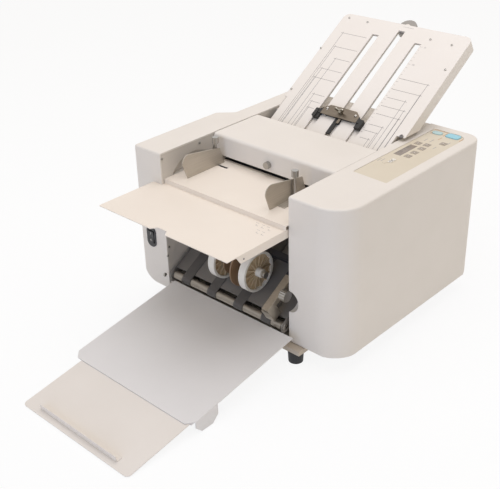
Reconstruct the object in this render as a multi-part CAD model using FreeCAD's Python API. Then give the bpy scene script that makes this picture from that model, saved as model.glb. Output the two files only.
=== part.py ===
import FreeCAD, Part
import math
import os

# Desk paper folding machine, in millimetres, +Z up, +X to the operator's right.
# Lengths along the machine are laid out from the front face of the left cover, with +Y to the rear.
# When a piece is written it moves by origin_shift, so that the origin lies on the desk
# under the centre of the whole machine.

os.makedirs("parts", exist_ok=True)
V = FreeCAD.Vector

# Overall case
case_width = 520.0
case_height = 346.0
case_bottom = 36.0
case_rear = 476.0
left_cover_width = 78.0
left_cover_rear_width = 46.0
left_kink_front = 236.0
left_kink_rear = 265.0
left_kink_radius = 12.0
left_bottom_radius = 38.0
left_edge_radius = 6.0
right_cover_width = 122.0
right_cover_front = 16.0
right_front_radius = 60.0
right_rear_radius = 34.0
right_bottom_radius = 42.0
right_inner_radius = 14.0
cover_wall = 3.0
top_edge_radius = 4.0
frame_wall = 3.0
pan_wall = 2.0
pan_side_height = 30.0
arch_y = 88.0
arch_drop = 36.0
arch_radius = 69.0
arch_depth = 10.0
baffle_y = 150.0
baffle_over_belts = 35.0
baffle_wall = 1.5
baffle_hem = 8.0
rear_wall = 3.0
deck_front = 362.0
rear_flange = 12.0
rear_corner = 8.0
vent_count = 9
vent_width = 150.0
vent_height = 4.0
vent_pitch = 10.0
vent_low = 110.0
ear_inset = 8.0
ear_drop = 36.0
ear_web_drop = 9.0
fit_gap = 0.05
seam = 0.3
shaft_play = 0.05
overrun = 20.0
paper_shift = 10.0

# Feet
foot_height = 26.0
foot_radius = 16.0
foot_taper = 1.5
foot_bracket_width = 42.0
foot_bracket_depth = 32.0
foot_bracket_front = 1.0
foot_bracket_wall = 2.0
foot_rear_setback = 30.0
foot_overlap = 5.0

# Feed table, feed tray and paper guides
table_drop = 56.0
table_front = 8.0
table_rear = 206.0
sheet = 1.5
tray_drop = 10.0
tray_left_reach = 24.0
tray_right_gap = 2.0
tray_front = 142.0
tray_flange = 17.0
tray_corner_cut = 22.0
flange_bevel = 12.0
notch_shift = 27.0
notch_mouth = 40.0
notch_floor = 23.0
notch_depth = 12.0
tray_corner_radius = 2.0
tray_under = 30.0
table_flange = 12.0
table_flange_front = 34.0
guide_wall = 1.5
guide_left_gap = 36.0
guide_right_gap = 66.0
guide_front_low = 38.0
guide_front_high = 18.0
guide_front_radius = 16.0
guide_rear_high = 132.0
guide_rear_low = 143.0
guide_height = 55.0
guide_rear_height = 36.0
guide_foot_width = 18.0
guide_foot_front = 60.0
guide_post_offset = 6.5
guide_corner = 3.0
left_post_y = 126.0
right_post_y = 104.0
post_radius = 3.0
guide_travel_out = 14.0
guide_travel = 29.0
guide_slot_margin = 4.0
guide_slot_play = 0.6
clamp_nut_radius = 7.0
clamp_nut_height = 5.0
clamp_collar_radius = 4.5
thumb_radius = 7.0
thumb_height = 13.0
thumb_rise = 60.0
thumb_groove_count = 18
groove_depth = 0.7

# Nose and top cover
nose_front = 149.0
nose_gap = 10.0
nose_radius = 7.0
nose_return = 7.0
lid_rear = 284.0
lid_left_gap = 3.0
lid_right_gap = 0.5
lid_skirt = 17.0
lid_hinge_y = 272.0
lid_hinge_drop = 14.0
pin_radius = 3.0
pin_boss_radius = 6.5
nose_knob_shift = 16.0
nose_knob_drop = 30.0
nose_knob_radius = 7.5
nose_knob_length = 9.0
nose_knob_stem = 3.0
nose_collar = 5.0
nose_collar_length = 2.0
lid_boss_length = 8.0
lid_edge = 2.0
lid_inner_radius = 4.0

# Feed roller and separator
feed_roller_y = 184.0
feed_roller_radius = 24.0
feed_gap = 0.6
feed_roller_half = 35.0
shaft_radius = 5.0
pad_length = 34.0
pad_width = 44.0
pad_height = 3.0
pad_rim = 3.0

# Fold rollers, gears and drive
fold_radius = 17.2
fold_spacing = 35.0
fold_main_y = 243.0
fold_main_drop = 15.5
upper_roller_angle = 105.0
rear_roller_angle = -19.5
lower_roller_angle = -101.0
fold_groove_count = 3
fold_groove_width = 4.0
fold_groove_depth = 1.5
roller_end_gap = 8.0
gear_teeth = 28
feed_gear_teeth = 36
idler_teeth = 20
gear_width = 8.0
gear_gap = 3.0
gear_backlash = 0.25
tooth_height_share = 0.9
tooth_root_share = 1.15
tooth_flank_angle = 20.0
hub_radius = 9.0
hub_length = 5.0
shaft_end = 2.0
bearing_outer = 9.0
bearing_width = 6.0
bearing_flange = 11.0
bearing_flange_width = 1.5
belt_width = 8.0
belt_wall = 1.5
belt_gap = 0.3
pulley_flange = 1.5
pulley_wall = 1.2
motor_radius = 34.0
motor_length = 78.0
motor_flange = 40.0
motor_flange_wall = 4.0
motor_y = 240.0
motor_rise = 60.0
motor_shaft_radius = 4.0
motor_post = 32.0
motor_post_radius = 4.0
motor_pulley_radius = 10.0
main_pulley_radius = 20.0
small_pulley_radius = 12.0

# Upper fold plate, in its own slope: across, along and square to the sheet
plate_slope = 32.5
plate_foot_step = 27.9
plate_foot_rise = 26.5
plate_over = 5.0
plate_left_gap = 12.0
plate_right_gap = 5.0
plate_length = 376.0
plate_corner = 15.0
plate_flange = 27.0
plate_flange_foot = 118.0
plate_shoulder = 99.0
plate_wall = 1.5
plate_channel = 2.5
slot_offset = 55.0
slot_width = 15.0
slot_foot = 46.0
slot_corner = 1.5
slot_backing_grow = 1.0
slot_backing_foot = 50.0
slot_side_head = 44.0
slot_middle_head = 20.0
ear_front = 348.0
ear_rear = 430.0
dial_radius = 22.0
dial_height = 9.0
dial_setback = 2.0
dial_groove_count = 24
dial_axle = 3.0
dial_drop = 3.0
dial_tongue = 8.0

# Paper stop on the upper fold plate: a flat bridge on two sliding shoes
stop_rest_up = 110.0
stop_half = 54.0
stop_depth = 26.0
stop_end_depth = 10.0
stop_shoulder = 34.0
stop_lift = 6.0
stop_wall = 2.0
stop_lip = 3.0
stop_edge = 3.0
stop_hole_offset = 37.0
stop_hole_radius = 2.5
shoe_width = 15.0
shoe_depth = 22.0
shoe_front = 12.0
shoe_cap = 1.0
shoe_edge = 2.0
shoe_key_width = 12.0
shoe_key_length = 14.0
stop_bar_shift = 3.0
stop_bar_width = 9.0
stop_bar_reach = 40.0
stop_bar_wall = 2.0
stop_pad_left = 2.4
stop_pad_right = 8.4
stop_hub_radius = 5.0
stop_hub_height = 7.0
stop_wing_reach = 11.0
stop_wing_tip = 5.0
stop_wing_height = 14.0
stop_wing_wall = 2.5
stop_wing_edge = 2.0

# Lower fold plate
lower_plate_slope = 50.0
lower_plate_step = 19.0
lower_plate_drop = 42.5
lower_plate_foot = 31.3
lower_plate_gap = 20.0
lower_slot_half = 5.0
lower_stop_share = 0.558
lower_stop_height = 8.0
lower_plate_side = 3.0
lower_slot_margin = 20.0
lower_tab_length = 30.0
lower_tab_inset = 35.0
lower_stop_half = 60.0
lower_stop_wall = 6.0
lower_stop_head = 8.0

# Conveyor and stacker
ramp_slope = 31.0
front_roller_y = 12.0
front_roller_z = 70.0
conveyor_radius = 9.0
conveyor_length = 205.0
conveyor_side_gap = 10.0
cheek_gap = 5.0
cheek_margin = 3.0
cheek_rear = 22.0
bed_stud_radius = 4.0
bed_stud_inset = 55.0
rail_post_along = 160.0
rail_post_length = 12.0
rail_front_along = 10.0
conveyor_belt_width = 24.0
conveyor_belt_wall = 1.0
conveyor_belt_count = 4
bed_wall = 2.0
chute_slope = 62.0
chute_length = 42.0
conveyor_shaft = 4.0
bush_radius = 7.0
bush_length = 7.0
wheel_radius = 42.0
wheel_width = 16.0
wheel_half_spacing = 41.0
stacker_shift = 9.0
wheel_rim = 5.0
wheel_recess = 6.0
wheel_rib_inset = 1.5
wheel_rib_count = 14
wheel_rib_wall = 3.0
wheel_boss = 9.0
wheel_boss_reach = 10.0
wheel_clear = 4.0
wheel_along = 59.0
disc_radius = 42.0
small_disc_radius = 26.0
disc_width = 3.0
disc_right_offset = 11.0
disc_left_offset = 21.0
stacker_shaft_radius = 4.0
shaft_cap_radius = 7.0
shaft_cap_length = 9.0
arm_width = 16.0
arm_height = 12.0
arm_wall = 2.5
arm_block_lift = 8.0
arm_hub = 9.0
slide_gap = 0.3
arm_lift = 34.0
arm_right_gap = 20.0
arm_front = -6.0
arm_rear = 118.0
arm_block = 22.0
cross_bar = 12.0
cross_along = 110.0
stacker_knob_radius = 12.0
stacker_knob_length = 14.0
stacker_knob_along = 39.0

# Delivery tray and its extension, in their own slope
delivery_slope = 8.8
delivery_rear_y = -6.0
delivery_rear_z = 68.0
delivery_length = 275.0
delivery_left_gap = 24.0
delivery_right_over = 28.0
delivery_corner = 14.0
delivery_wall = 1.5
delivery_foot_length = 55.0
delivery_foot_bevel = 14.0
delivery_pivot_y = -4.0
delivery_pivot_z = 60.0
delivery_ear_wall = 1.5
delivery_ear_radius = 5.5
delivery_ear_length = 14.0
lug_inset = 30.0
lug_radius = 6.0
pan_front = 4.0
pan_front_height = 18.0
rail_front = 268.0
rail_rear = 150.0
rail_lip = 6.0
extension_left_gap = 49.0
extension_right_over = 21.0
extension_reach = 415.0
extension_length = 212.0
extension_drop = 0.4
extension_stop_half = 106.0
extension_stop_height = 12.0
extension_stop_setback = 12.0

# Control panel and switch
panel_left_gap = 21.0
panel_right_gap = 23.0
panel_front = 176.0
panel_rear = 453.0
panel_slant = 4.0
panel_rear_radius = 22.0
panel_corner = 3.0
panel_recess = 2.0
panel_wall = 1.4
lcd_inset = 9.0
lcd_width = 16.0
lcd_front = 293.0
lcd_rear = 353.0
start_key_inset = 25.0
start_key_y = 439.0
start_key_width = 30.0
start_key_length = 20.0
stop_key_inset = 18.0
stop_key_y = 436.0
stop_key_width = 22.0
stop_key_length = 14.0
key_rise = 1.6
key_stem = 3.0
key_clear = 0.4
key_collar = 1.5
key_collar_height = 2.0
key_travel = 1.0
key_corner = 6.0
board_inset = 8.0
board_post = 2.5
emboss_rise = 0.4
emboss_long = 14.0
emboss_wide = 8.0
membrane_keys_share = [(0.22, 0.69), (0.46, 0.70), (0.49, 0.62), (0.49, 0.53), (0.49, 0.45), (0.74, 0.79),
                       (0.37, 0.31), (0.26, 0.27)]
board_gap = 6.0
board_wall = 1.6
switch_inset = 33.0
switch_z = 147.0
switch_width = 27.0
switch_height = 47.0
switch_radius = 12.0
bezel_rise = 2.0
rocker_width = 16.0
rocker_height = 27.0
rocker_rise = 4.0
switch_body_depth = 16.0
rocker_play = 0.8
rocker_depth = 9.0
rocker_waist = 1.4
rocker_taper = 2.0
rocker_axle = 1.5
rocker_axle_length = 1.8
rocker_axle_depth = 1.5
switch_rim = 2.5
inlet_inset = 23.0
inlet_z = 82.0
inlet_width = 28.0
inlet_height = 21.0
inlet_depth = 18.0
inlet_flange = 3.0
inlet_wall = 2.5
inlet_pin = 1.6
inlet_pin_length = 6.0
inlet_pin_pitch = 7.0

# Places that follow from the sizes above
wall_left = left_cover_width - case_width / 2
wall_right = case_width / 2 - right_cover_width
wall_span = wall_right - wall_left
paper_offset = (wall_left + wall_right) / 2 + paper_shift
table_top = case_height - table_drop
tray_top = table_top - tray_drop
tray_left = wall_left - tray_left_reach
tray_right = wall_right - tray_right_gap
notch_centre = paper_offset - notch_shift
guide_left_x = wall_left + guide_left_gap
guide_right_x = wall_right - guide_right_gap
guide_top = table_top + guide_height
guide_rear_top = table_top + guide_rear_height
thumb_top = table_top + thumb_rise
arch_z = table_top - arch_drop
ear_low = case_height - ear_drop
ear_web = case_height - ear_web_drop
nose_bottom = table_top + nose_gap
lid_hinge_z = case_height - lid_hinge_drop
nose_knob_x = paper_offset - nose_knob_shift
nose_knob_z = case_height - nose_knob_drop
fold_main_z = table_top - fold_main_drop
motor_z = case_bottom + motor_rise
plate_half = wall_span / 2 + plate_over
plate_inner_left = wall_left + plate_left_gap
plate_inner_right = wall_right - plate_right_gap
plate_low = plate_length - plate_flange_foot
plate_narrow = plate_length - plate_shoulder
slot_end = plate_length - slot_foot
stop_rest = plate_length - stop_rest_up
lower_plate_y = fold_main_y + lower_plate_step
lower_plate_z = fold_main_z - lower_plate_drop
lower_plate_half = wall_span / 2 - lower_plate_gap
stacker_centre = paper_offset + stacker_shift
arm_right = wall_right - arm_right_gap
delivery_left = wall_left + delivery_left_gap
delivery_right = wall_right + delivery_right_over
extension_left = wall_left + extension_left_gap
extension_right = wall_right + extension_right_over
panel_left = wall_right + panel_left_gap
panel_right = case_width / 2 - panel_right_gap
lcd_left = panel_left + lcd_inset
lcd_right = lcd_left + lcd_width
start_key_x = panel_right - start_key_inset
stop_key_x = panel_left + stop_key_inset
switch_x = switch_inset - case_width / 2
inlet_x = wall_left - inlet_inset
slope = math.radians(plate_slope)
ramp = math.radians(ramp_slope)
delivery = math.radians(delivery_slope)
lower_slope = math.radians(-lower_plate_slope)
lower_plate_length = (lower_plate_z - case_bottom - lower_plate_foot) / math.sin(-lower_slope)
lower_stop_drop = lower_plate_length * lower_stop_share
plate_top_y = fold_main_y + plate_foot_step + plate_length * math.cos(slope)
plate_top_z = fold_main_z + plate_foot_rise + plate_length * math.sin(slope)
plate_stack = plate_wall * 2 + plate_channel
belt_top = conveyor_radius + belt_gap + conveyor_belt_wall
wheel_lift = wheel_radius + wheel_clear
belt_foot_y = front_roller_y - belt_top * math.sin(ramp)
belt_foot_z = front_roller_z + belt_top * math.cos(ramp)
baffle_low = belt_foot_z + (baffle_y - belt_foot_y) * math.tan(ramp) + baffle_over_belts
gear_front = wall_right + frame_wall + gear_gap
gear_back = gear_front + gear_width
pulley_width = belt_width + belt_gap * 2 + pulley_flange * 2
first_pulley = gear_back + gear_gap
second_pulley = first_pulley + pulley_width + gear_gap
cheek_left = wall_left + cheek_gap
cheek_right = wall_right - cheek_gap
dial_low = plate_stack + dial_drop + dial_height
rear_reach = plate_top_y + (dial_radius - dial_setback) * math.cos(slope) + dial_low * math.sin(slope)
origin_shift = (extension_reach - rear_reach) / 2


def polar(place, angle, distance):
    turn = math.radians(angle)
    return place[0] + distance * math.cos(turn), place[1] + distance * math.sin(turn)


main_place = (fold_main_y, fold_main_z)
upper_place = polar(main_place, upper_roller_angle, fold_spacing)
rear_place = polar(main_place, rear_roller_angle, fold_spacing)
lower_place = polar(main_place, lower_roller_angle, fold_spacing)
feed_place = (feed_roller_y, table_top + feed_gap + feed_roller_radius)
shaft_places = [main_place, upper_place, rear_place, lower_place, feed_place]
gear_unit = fold_spacing / gear_teeth


def idler_centre():
    """Lower point that lies at gear distance from both the upper roller and the feed roller."""
    near = gear_unit * (gear_teeth + idler_teeth) / 2
    far = gear_unit * (feed_gear_teeth + idler_teeth) / 2
    step = (feed_place[0] - upper_place[0], feed_place[1] - upper_place[1])
    span = math.hypot(*step)
    along = (near ** 2 - far ** 2 + span ** 2) / span / 2
    aside = math.sqrt(near ** 2 - along ** 2)
    y = upper_place[0] + (step[0] * along - step[1] * aside) / span
    z = upper_place[1] + (step[1] * along + step[0] * aside) / span
    return y, z


def on_ramp(along, lift):
    """Place over the conveyor: so far up its slope from the front roller, so high over the belts."""
    high = belt_top + lift
    y = front_roller_y + along * math.cos(ramp) - high * math.sin(ramp)
    z = front_roller_z + along * math.sin(ramp) + high * math.cos(ramp)
    return y, z


idler_place = idler_centre()
conveyor_front_place = (front_roller_y, front_roller_z)
conveyor_rear_place = polar(conveyor_front_place, ramp_slope, conveyor_length)


def save(name, shape):
    shape = shape.copy()
    shape.translate(V(0, origin_shift, 0))
    shape.exportStep(os.path.join("parts", name + ".step"))


def box(x0, x1, y0, y1, z0, z1):
    return Part.makeBox(x1 - x0, y1 - y0, z1 - z0, V(x0, y0, z0))


def rod(start, axis, length, radius):
    return Part.makeCylinder(radius, length, V(*start), V(*axis))


def rod_x(x0, x1, place, radius):
    return rod((x0, place[0], place[1]), (1, 0, 0), x1 - x0, radius)


def rod_z(place, z0, z1, radius):
    return rod((place[0], place[1], z0), (0, 0, 1), z1 - z0, radius)


def through_x(place, radius):
    """Bore across the whole machine."""
    return rod_x(-case_width, case_width, place, radius)


def outline(corners, lift):
    """Closed face through corners of (a, b, radius), each rounded by its radius."""
    ends = []
    count = len(corners)
    for i, (a, b, radius) in enumerate(corners):
        here = V(a, b, 0)
        if radius <= 0:
            ends.append((here, here, None))
            continue
        back = (V(corners[i - 1][0], corners[i - 1][1], 0) - here).normalize()
        ahead = (V(corners[(i + 1) % count][0], corners[(i + 1) % count][1], 0) - here).normalize()
        half = back.getAngle(ahead) / 2
        reach = radius / math.tan(half)
        middle = here + (back + ahead).normalize() * (radius / math.sin(half) - radius)
        ends.append((here + back * reach, here + ahead * reach, middle))
    edges = []
    for i, (start, end, middle) in enumerate(ends):
        if middle is not None:
            edges.append(Part.Arc(lift(start), lift(middle), lift(end)).toShape())
        following = ends[(i + 1) % count][0]
        edges.append(Part.makeLine(lift(end), lift(following)))
    return Part.Face(Part.Wire(edges))


def prism_z(corners, z0, z1):
    return outline(corners, lambda p: V(p.x, p.y, z0)).extrude(V(0, 0, z1 - z0))


def prism_x(corners, x0, x1):
    return outline(corners, lambda p: V(x0, p.x, p.y)).extrude(V(x1 - x0, 0, 0))


def prism_y(corners, y0, y1):
    return outline(corners, lambda p: V(p.x, y0, p.y)).extrude(V(0, y1 - y0, 0))


def rectangle(a0, a1, b0, b1, radius=0.0):
    return [(a0, b0, radius), (a1, b0, radius), (a1, b1, radius), (a0, b1, radius)]


def about(a, b, width, height, radius=0.0):
    return rectangle(a - width / 2, a + width / 2, b - height / 2, b + height / 2, radius)


def join(shapes):
    return shapes[0].multiFuse(shapes[1:]).removeSplitter()


def group(shapes):
    return Part.makeCompound(shapes)


def moved(shape, x, y, z):
    shape = shape.copy()
    shape.translate(V(x, y, z))
    return shape


def sloped(shape, y, z, angle):
    """Lays a piece drawn flat on a slope that rises to the rear by the angle."""
    shape = shape.copy()
    shape.rotate(V(0, 0, 0), V(1, 0, 0), math.degrees(angle))
    shape.translate(V(0, y, z))
    return shape


def on_plate(shape):
    return sloped(shape, plate_top_y, plate_top_z, slope)


def on_conveyor(shape):
    return sloped(shape, front_roller_y, front_roller_z, ramp)


def on_delivery(shape):
    return sloped(shape, delivery_rear_y, delivery_rear_z, delivery)


def on_lower_plate(shape):
    return sloped(shape, lower_plate_y, lower_plate_z, lower_slope)


def fluted(radius, flutes, z0, z1):
    """Upright knob body with shallow flutes round its rim."""
    points = []
    for i in range(flutes * 2):
        turn = math.pi * i / flutes
        reach = radius - groove_depth * (i % 2)
        points.append(V(reach * math.cos(turn), reach * math.sin(turn), z0))
    points.append(points[0])
    return Part.Face(Part.makePolygon(points)).extrude(V(0, 0, z1 - z0))


def top_edges(shape, open_x):
    """Edges of the top face, apart from the one along the open side."""
    top = shape.BoundBox.ZMax
    chosen = []
    for edge in shape.Edges:
        level = all(abs(v.Z - top) < fit_gap for v in edge.Vertexes)
        inner = all(abs(v.X - open_x) < fit_gap for v in edge.Vertexes)
        if level and not inner:
            chosen.append(edge)
    return chosen


# Covers

def left_plan(inset):
    """Plan of the left cover, whose wall keeps its thickness along the slant of the kink too."""
    outer = -case_width / 2 + inset
    waist = wall_left - left_cover_rear_width + inset
    across = waist - outer
    along = left_kink_rear - left_kink_front
    back = inset * (math.hypot(across, along) - along) / across
    return [(outer, inset, left_edge_radius), (wall_left, inset, 0), (wall_left, case_rear - inset, 0),
            (waist, case_rear - inset, left_edge_radius), (waist, left_kink_rear - back, left_kink_radius),
            (outer, left_kink_front - back, left_kink_radius)]


def left_body(inset, top):
    body = prism_z(left_plan(inset), case_bottom + inset, top)
    outer = -case_width / 2 + inset
    low = case_bottom + inset
    front = [(outer, low, left_bottom_radius - inset), (wall_left + overrun, low, 0),
             (wall_left + overrun, top + overrun, 0), (outer, top + overrun, 0)]
    return body.common(prism_y(front, -overrun, case_rear + overrun))


def switch_body(grow):
    width = switch_width - switch_rim * 2 + grow * 2
    height = switch_height - switch_rim * 2 + grow * 2
    return about(switch_x, switch_z, width, height, switch_radius - switch_rim + grow)


def left_side_cover():
    outer = left_body(0, case_height)
    outer = outer.makeFillet(top_edge_radius, top_edges(outer, wall_left))
    shell = outer.cut(left_body(cover_wall, case_height - cover_wall))
    shell = shell.cut(prism_y(switch_body(fit_gap), -overrun, overrun))
    inlet = about(inlet_x, inlet_z, inlet_width + fit_gap * 2, inlet_height + fit_gap * 2)
    save("left_side_cover", shell.cut(prism_y(inlet, case_rear - overrun, case_rear + overrun)))


def right_body(inset, top):
    side = case_width / 2 - inset
    front = right_cover_front + inset
    rear = case_rear - inset
    low = case_bottom + inset
    plan = [(wall_right, front, 0), (side, front, right_front_radius - inset),
            (side, rear, right_rear_radius - inset), (wall_right, rear, 0)]
    profile = [(front, low, top_edge_radius), (rear, low, right_bottom_radius - inset),
               (rear, top + overrun, 0), (front, top + overrun, 0)]
    face = [(wall_right, low, right_inner_radius), (side, low, top_edge_radius),
            (side, top + overrun, 0), (wall_right, top + overrun, 0)]
    body = prism_z(plan, low, top)
    body = body.common(prism_x(profile, wall_right - overrun, case_width / 2 + overrun))
    return body.common(prism_y(face, 0, case_rear + overrun))


def finger_scoop(grow):
    """Rounded hollow in the front inner corner of the right cover, about the stacker knob."""
    y, z = on_ramp(stacker_knob_along, arm_lift)
    return Part.makeSphere(stacker_knob_radius * 2 + grow, V(wall_right, y, z))


def panel_plan(inset):
    return [(panel_left + inset, panel_front + inset, panel_corner),
            (panel_right - inset, panel_front - panel_slant + inset, panel_corner),
            (panel_right - inset, panel_rear - inset, panel_rear_radius - inset),
            (panel_left + inset, panel_rear - inset, panel_corner)]


def key_plan(x, y, width, length, grow):
    return about(x, y, width + grow * 2, length + grow * 2, key_corner)


def key_wells(z0, z1):
    start = key_plan(start_key_x, start_key_y, start_key_width, start_key_length, key_clear)
    stop = key_plan(stop_key_x, stop_key_y, stop_key_width, stop_key_length, key_clear)
    return prism_z(start, z0, z1).fuse(prism_z(stop, z0, z1))


def right_side_cover():
    outer = right_body(0, case_height)
    outer = outer.makeFillet(top_edge_radius, top_edges(outer, wall_right))
    outer = outer.cut(prism_z(panel_plan(0), case_height - panel_recess, case_height + overrun))
    inner = right_body(cover_wall, case_height - cover_wall)
    floor = prism_z(panel_plan(-cover_wall), case_height - panel_recess - cover_wall, case_height)
    shell = outer.cut(inner.cut(floor).cut(finger_scoop(cover_wall)))
    shell = shell.cut(finger_scoop(0)).cut(key_wells(case_height - overrun, case_height))
    save("right_side_cover", shell)


def top_cover():
    left = wall_left + lid_left_gap
    right = wall_right - lid_right_gap
    low = case_height - lid_skirt
    lip = nose_front + nose_return
    outer = [(nose_front, nose_bottom, lid_edge), (nose_front, case_height, nose_radius),
             (lid_rear, case_height, lid_edge), (lid_rear, low, 0), (lip, low, 0), (lip, nose_bottom, 0)]
    shell = prism_x(outer, left, right)
    behind = nose_front + cover_wall
    under = case_height - cover_wall
    beyond = lid_rear + overrun
    below = nose_bottom - overrun
    hollow = [(behind, nose_bottom + cover_wall, 0), (lip, nose_bottom + cover_wall, 0), (lip, below, 0),
              (beyond, below, 0), (beyond, under, 0), (behind, under, lid_inner_radius)]
    shell = shell.cut(prism_x(hollow, left + cover_wall, right - cover_wall))
    hinge = (lid_hinge_y, lid_hinge_z)
    bosses = [rod_x(left, left + lid_boss_length, hinge, pin_boss_radius),
              rod_x(right - lid_boss_length, right, hinge, pin_boss_radius)]
    knob_hole = rod((nose_knob_x, nose_front - overrun, nose_knob_z), (0, 1, 0), overrun * 2,
                    nose_knob_stem + shaft_play)
    save("top_cover", join([shell] + bosses).cut(through_x(hinge, pin_radius + shaft_play)).cut(knob_hole))


def rear_cover():
    left = wall_left + seam
    right = wall_right - seam
    rear = case_rear
    low = case_bottom + pan_side_height
    front = rear - rear_wall
    profile = [(front, low, 0), (rear, low, 0), (rear, case_height, rear_corner),
               (deck_front, case_height, 0),
               (deck_front, case_height - rear_wall, 0),
               (front, case_height - rear_wall, rear_corner - rear_wall)]
    shell = prism_x(profile, left, right)
    flange = box(left, left + sheet, front - rear_flange, front, low, case_height - rear_wall)
    other = box(right - sheet, right, front - rear_flange, front, low, case_height - rear_wall)
    shell = join([shell, flange, other])
    for x in (wall_left, wall_right - ear_inset - frame_wall - seam):
        reach = ear_inset + frame_wall + seam
        shell = shell.cut(box(x, x + reach, deck_front - overrun, ear_rear + seam, ear_web,
                              case_height + overrun))
    middle = paper_offset
    for i in range(vent_count):
        z = vent_low + vent_pitch * i
        shell = shell.cut(box(middle - vent_width / 2, middle + vent_width / 2, front - overrun,
                              rear + overrun,
                              z, z + vent_height))
    save("rear_cover", shell)


# Frames, pan, feet and baffle

def frame_plate(front, x0):
    inset = cover_wall + seam
    low = case_bottom + inset
    top = case_height - inset
    rear = case_rear - inset
    corner = right_bottom_radius - inset
    profile = [(front + inset, low, 0), (rear, low, corner), (rear, top, 0), (front + inset, top, 0)]
    return prism_x(profile, x0, x0 + frame_wall)


def fold_plate_ear(wall, inward, depth):
    """Folded bracket on a side frame that carries the upper fold plate, cut to its slope at that depth."""
    near = wall + inward * frame_wall
    far = wall + inward * (ear_inset + frame_wall)
    step = wall + inward * ear_inset
    high = plate_top_z
    profile = [(wall, ear_low, 0), (near, ear_low, 0), (near, ear_web, 0), (far, ear_web, 0),
               (far, high, 0),
               (step, high, 0), (step, ear_web + frame_wall, 0), (wall, ear_web + frame_wall, 0)]
    ear = prism_y(profile, ear_front, ear_rear)
    over = box(-case_width, case_width, -case_rear, case_rear, -depth, case_height)
    return ear.cut(on_plate(over))


def bored_for_shafts(plate):
    for place in shaft_places:
        plate = plate.cut(through_x(place, bearing_outer + fit_gap))
    return plate.cut(through_x((lid_hinge_y, lid_hinge_z), pin_radius + fit_gap))


def left_side_frame():
    plate = frame_plate(0, wall_left - frame_wall)
    arch = (arch_y, arch_z)
    pocket = rod_x(wall_left - arch_depth - frame_wall, wall_left, arch, arch_radius + frame_wall)
    hollow = rod_x(wall_left - arch_depth, wall_left + overrun, arch, arch_radius)
    over_table = box(-case_width, case_width, 0, case_rear, table_top, case_height)
    over_floor = box(-case_width, case_width, 0, case_rear, table_top - frame_wall, case_height)
    plate = join([plate, pocket.common(over_floor)]).cut(hollow.common(over_table))
    save("left_side_frame", join([bored_for_shafts(plate), fold_plate_ear(wall_left, 1, plate_wall)]))


def right_side_frame():
    plate = frame_plate(right_cover_front, wall_right)
    low = case_bottom + right_inner_radius + cover_wall + seam
    plate = plate.cut(box(-case_width, case_width, 0, case_rear, 0, low))
    knob = on_ramp(stacker_knob_along, arm_lift)
    plate = plate.cut(through_x(knob, stacker_knob_radius * 2 + cover_wall + seam))
    plate = bored_for_shafts(plate).cut(through_x(conveyor_rear_place, bush_radius + fit_gap))
    stud = rod_x(wall_right, gear_back + shaft_end, idler_place, shaft_radius)
    save("right_side_frame", join([plate, fold_plate_ear(wall_right, -1, plate_stack), stud]))


def pan_lug(x0, x1):
    """Upright lug on the pan's front wall that holds a pivot of the delivery tray."""
    pivot = (delivery_pivot_y, delivery_pivot_z)
    low = case_bottom + pan_wall
    web = [(pan_front + pan_wall, low, 0), (pan_front + pan_wall, case_bottom + pan_front_height, 0),
           (delivery_pivot_y, delivery_pivot_z + lug_radius, 0),
           (delivery_pivot_y - lug_radius, delivery_pivot_z, 0),
           (pan_front, low, 0)]
    return [prism_x(web, x0, x1), rod_x(x0, x1, pivot, lug_radius)]


def chassis_pan():
    low = case_bottom
    top = case_bottom + pan_side_height
    rear = case_rear - cover_wall - seam
    floor = box(wall_left, wall_right, pan_front, rear, low, low + pan_wall)
    front = box(wall_left, wall_right, pan_front, pan_front + pan_wall, low, low + pan_front_height)
    back = box(wall_left, wall_right, rear - pan_wall, rear, low, top)
    left = box(wall_left, wall_left + pan_wall, right_cover_front + overrun, rear, low, top)
    right = box(wall_right - pan_wall, wall_right, right_cover_front + overrun, rear, low, top)
    pieces = [floor, front, back, left, right]
    pieces += pan_lug(wall_left + lug_inset, wall_left + lug_inset + pan_wall)
    pieces += pan_lug(wall_right - lug_inset - pan_wall, wall_right - lug_inset)
    pan = join(pieces)
    save("chassis_pan", pan.cut(through_x((delivery_pivot_y, delivery_pivot_z), pin_radius + shaft_play)))


def bracket_corners():
    """Lower left corner of each foot bracket in plan."""
    rear = case_rear - foot_rear_setback - foot_bracket_depth
    corners = []
    for y in (foot_bracket_front, rear):
        corners.append((wall_left + seam, y))
        corners.append((wall_right - foot_overlap, y))
    return corners


def foot_brackets():
    brackets = []
    for x, y in bracket_corners():
        outer = box(x, x + foot_bracket_width, y, y + foot_bracket_depth, foot_height, case_bottom)
        inner = box(x + foot_bracket_wall, x + foot_bracket_width - foot_bracket_wall,
                    y + foot_bracket_wall,
                    y + foot_bracket_depth + overrun, foot_height + foot_bracket_wall,
                    case_bottom - foot_bracket_wall)
        brackets.append(outer.cut(inner))
    save("foot_brackets", group(brackets))


def rubber_feet():
    feet = []
    for x, y in bracket_corners():
        centre = V(x + foot_bracket_width / 2, y + foot_bracket_depth / 2, 0)
        feet.append(Part.makeCone(foot_radius - foot_taper, foot_radius, foot_height, centre, V(0, 0, 1)))
    save("rubber_feet", group(feet))


def front_baffle():
    under = table_top - sheet
    left = wall_left + sheet
    right = wall_right - sheet
    sheet_part = box(left, right, baffle_y, baffle_y + baffle_wall, baffle_low, under)
    hem = box(left, right, baffle_y, baffle_y + baffle_hem, baffle_low, baffle_low + baffle_wall)
    head = box(left, right, baffle_y, baffle_y + baffle_hem, under - baffle_wall, under)
    save("front_baffle", join([sheet_part, hem, head]))


def pivot_pins():
    hinge = (lid_hinge_y, lid_hinge_z)
    left = rod_x(wall_left - frame_wall, wall_left + lid_left_gap + lid_boss_length, hinge, pin_radius)
    right = rod_x(wall_right - lid_right_gap - lid_boss_length, wall_right + frame_wall, hinge, pin_radius)
    save("pivot_pins", group([left, right]))


# Feed table, tray and guides

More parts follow.
